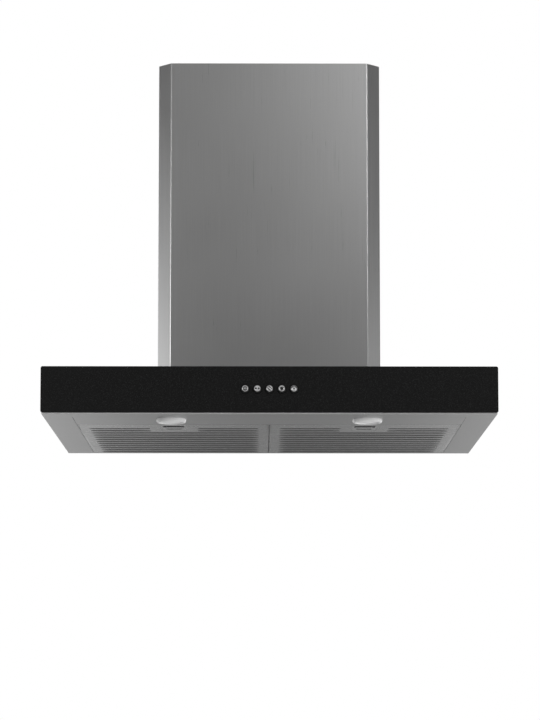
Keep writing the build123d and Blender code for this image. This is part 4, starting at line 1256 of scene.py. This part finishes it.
for side_name in SIDES:
    low, high = span(f"lamp_bezel_{side_name}")
    glass_low, glass_high = span(f"lamp_glass_{side_name}")
    x, y, _ = (low + high) / 2
    glass_radius = (glass_high[0] - glass_low[0]) / 2
    section = ring_section((high[0] - low[0]) / 2, low[2], glass_radius + GLASS_PLAY)
    points = revolved(section, (x, y, 0.0), (0, 0, 1), LAMP_STEPS)
    lamp_ring = shape_piece(f"lamp_ring_{side_name}", points, grid_faces(*points.shape[:2], True, True),
                            f"lamp_bezel_{side_name}", sharp_degrees=TURNED_SHARP)
    section = pane_section(glass_radius, glass_high[2] - glass_low[2])
    points = revolved(section, (x, y, glass_low[2]), (0, 0, 1), LAMP_STEPS)
    pane = shape_piece(f"lamp_pane_{side_name}", points, grid_faces(*points.shape[:2], wrap_columns=True),
                       f"lamp_glass_{side_name}", sharp_degrees=TURNED_SHARP)
    print(lamp_ring.name, "and", pane.name, "at x =", round(x / MM, 1), "mm")

# %% [markdown]
# ## The room
# The hood hangs in front of a white background, seen from a little below by a long lens almost four metres
# away. The lens is shifted up a little instead of being tilted further, which keeps the chimney's sides
# nearly upright.

# %% Camera
TILT = 5.766              # degrees upwards
PAN = 0.336               # degrees to the right
camera_data = bpy.data.cameras.new("camera")
camera = bpy.data.objects.new("camera", camera_data)
bpy.context.scene.collection.objects.link(camera)
bpy.context.scene.camera = camera
camera_data.lens = 129.83
camera_data.shift_x = -0.0106
camera_data.shift_y = 0.15
camera.location = (-0.00915, -3.86402, -0.41227)
camera.rotation_euler = (math.radians(90 + TILT), 0.0, math.radians(-PAN))
print("camera", round(-camera.location.y, 2), "m in front of the wall, lens", round(camera_data.lens), "mm")

# %% [markdown]
# ### Floor
# The floor is plain and pale. It is far enough down to leave room for a camera that looks up at the
# filters, and so wide that its edge stays out of sight. Metal doesn't see it: what a metal mirrors is the
# light tent.

# %% Floor
FLOOR_Z = -5.0
FLOOR_HALF = 150.0


def stage_sheet(name, points, material):
    """A stage surface from a grid of points."""
    mesh = bpy.data.meshes.new(name)
    mesh.from_pydata(points.reshape(-1, 3).tolist(), [], grid_faces(*points.shape[:2]))
    shade(mesh, sharp_degrees=60.0)
    sheet = bpy.data.objects.new(name, mesh)
    bpy.context.scene.collection.objects.link(sheet)
    sheet.data.materials.append(material)
    return sheet


floor_finish = Finish("pale floor", roughness=0.9, specular_ior_level=0.1)
mottle = floor_finish.noise(3.0, detail=3.0)
floor_finish.feed(base_color=floor_finish.blend(mottle, (0.80, 0.80, 0.80), (0.84, 0.84, 0.84)))
u, v = np.meshgrid(np.linspace(-FLOOR_HALF, FLOOR_HALF, 3), np.linspace(-FLOOR_HALF, FLOOR_HALF, 3))
floor = stage_sheet("floor", np.stack([u, v, np.full_like(u, FLOOR_Z)], -1), floor_finish.material)
floor.visible_glossy = False
print("floor", 2 * FLOOR_HALF, "m wide,", -FLOOR_Z, "m below the hood")

# %% [markdown]
# ### The light tent
# Steel shows what it mirrors, so the picture of the hood is made by what stands round it. The tent is a
# sphere round the whole set which only mirrors can see: dark, with soft bright patches, as a photographer's
# tent has. Each patch is a bell curve in the angle round the tent and in the angle above the horizon: level
# * exp(-(turn / width)^2 - (rise / height)^2). Azimuth 0 is behind the camera, positive azimuths are to its
# right, and 180 is behind the hood. Upright faces mirror the patches beside and behind the camera, and the
# underside, which is seen at a low angle, mirrors those behind the hood, just below the horizon.

# %% Light tent
TENT_RADIUS = 6.0
TENT_COLUMNS = 73         # points of the sphere's grid, one every 5 degrees
TENT_ROWS = 37
BASE = 0.008              # brightness where no patch is
PATCHES = [
    # azimuth, elevation, width and height in degrees, level
    (0, 20, 25, 10, 0.30),
    (14, 22, 10, 8, 1.6),
    (-30, 6, 14, 8, 1.6),
    (-65, 4, 14, 10, 1.6),
    (-90, 2, 16, 7, 1.85),
    (-115, 2, 14, 10, 3.3),
    (90, 2, 16, 7, 1.1),
    (90, 18, 20, 10, 0.2),
    (-45, 7, 12, 4.5, 8.0),
    (45, 17.8, 12, 3.2, 13.0),
    (80, -17, 35, 9, 2.2),
    (150, -7, 16, 6, 5.0),
    (-150, -7, 16, 6, 6.2),
    (120, -7, 16, 6, 0.8),
    (-120, -7, 16, 6, 0.3),
    (180, -22, 60, 10, 0.2),
    (0, 72, 180, 28, 0.7),
    (180, -52, 80, 14, 0.5),
    (0, -62, 180, 20, 0.45),
]


def glowing(name):
    """A finish that only gives off light."""
    finish = Finish(name)
    finish.glow = finish.tree.nodes.new("ShaderNodeEmission")
    finish.tree.links.new(finish.glow.outputs[0], finish.end.inputs["Surface"])
    finish.tree.nodes.remove(finish.surface)
    finish.material.cycles.emission_sampling = "NONE"
    return finish


def patch(azimuth, elevation, at, rise, width, height, level):
    """A bell-shaped patch of light, where the angle from its azimuth is taken the short way round."""
    turn = azimuth - float(at)
    across = turn.maths("WRAP", turn, 180.0, -180.0) / float(width)
    up = (elevation - float(rise)) / float(height)
    return level * (0.0 - across * across - up * up).power_of_e()


tent_finish = glowing("light tent")
x, y, z = tent_finish.axes()
azimuth = x.maths("ARCTAN2", x, 0.0 - y) * (180 / math.pi)
flat = (x * x + y * y).root()
elevation = z.maths("ARCTAN2", z, flat) * (180 / math.pi)
level = patch(azimuth, elevation, *PATCHES[0]) + BASE
for settings in PATCHES[1:]:
    level = level + patch(azimuth, elevation, *settings)
tent_finish.put(tent_finish.glow.inputs["Color"], level)
turn, rise = np.meshgrid(np.radians(np.linspace(-180, 180, TENT_COLUMNS)),
                         np.radians(np.linspace(-90, 90, TENT_ROWS)))
directions = np.stack([np.cos(rise) * np.sin(turn), -np.cos(rise) * np.cos(turn), np.sin(rise)], -1)
tent = stage_sheet("light_tent", TENT_RADIUS * directions, tent_finish.material)
tent.visible_camera = False
tent.visible_diffuse = False
tent.visible_shadow = False
tent.visible_transmission = False
tent.visible_volume_scatter = False
print("light tent with", len(PATCHES), "patches")

# %% [markdown]
# ### Lamps
# Three large square lamps light what isn't metal: a key from the upper right, a fill from the left, and a
# low one for the lamp panes and the plastic that is seen from below. Mirrors don't see them, because the
# tent is there.

# %% Lamps
HOOD_MIDDLE = np.array([0.0, -0.25, 0.2])


def soft_lamp(name, place, size, watts):
    """A square area lamp that points at the middle of the hood, with its size in metres."""
    data = bpy.data.lights.new(name, "AREA")
    data.shape = "SQUARE"
    data.size = size
    data.energy = watts
    lamp = bpy.data.objects.new(name, data)
    bpy.context.scene.collection.objects.link(lamp)
    lamp.location = place
    target = HOOD_MIDDLE - place
    lamp.rotation_euler = (math.acos(-target[2] / np.linalg.norm(target)), 0.0,
                           math.atan2(target[1], target[0]) - math.pi / 2)
    lamp.visible_glossy = False
    return lamp


soft_lamp("key_lamp", np.array([2.2, -3.2, 2.6]), size=2.0, watts=60.0)
soft_lamp("fill_lamp", np.array([-2.8, -2.6, 1.2]), size=2.4, watts=40.0)
soft_lamp("low_lamp", np.array([1.7, -2.0, -0.9]), size=1.0, watts=24.0)
print(len(bpy.data.lights), "lamps")

# %% [markdown]
# ### World
# The world is white to the camera, to mirrors and to glass, and a plain pale grey to everything else. The
# choice between the two is a mask: the largest of three questions about the ray that asks.

# %% World
PLAIN_STRENGTH = 0.62
world = bpy.data.worlds.new("white room")
bpy.context.scene.world = world
world.use_nodes = True
tree = world.node_tree
tree.nodes.clear()
paths = tree.nodes.new("ShaderNodeLightPath")
seen = tree.nodes.new("ShaderNodeMath")
seen.operation = "MAXIMUM"
seen_any = tree.nodes.new("ShaderNodeMath")
seen_any.operation = "MAXIMUM"
tree.links.new(paths.outputs["Is Camera Ray"], seen.inputs[0])
tree.links.new(paths.outputs["Is Glossy Ray"], seen.inputs[1])
tree.links.new(seen.outputs[0], seen_any.inputs[0])
tree.links.new(paths.outputs["Is Transmission Ray"], seen_any.inputs[1])
plain = tree.nodes.new("ShaderNodeBackground")
plain.inputs["Color"].default_value = (1, 1, 1, 1)
plain.inputs["Strength"].default_value = PLAIN_STRENGTH
white = tree.nodes.new("ShaderNodeBackground")
white.inputs["Color"].default_value = (1, 1, 1, 1)
white.inputs["Strength"].default_value = 1.0
choice = tree.nodes.new("ShaderNodeMixShader")
tree.links.new(seen_any.outputs[0], choice.inputs[0])
tree.links.new(plain.outputs[0], choice.inputs[1])
tree.links.new(white.outputs[0], choice.inputs[2])
tree.links.new(choice.outputs[0], tree.nodes.new("ShaderNodeOutputWorld").inputs["Surface"])
bpy.context.scene.view_settings.view_transform = "Standard"
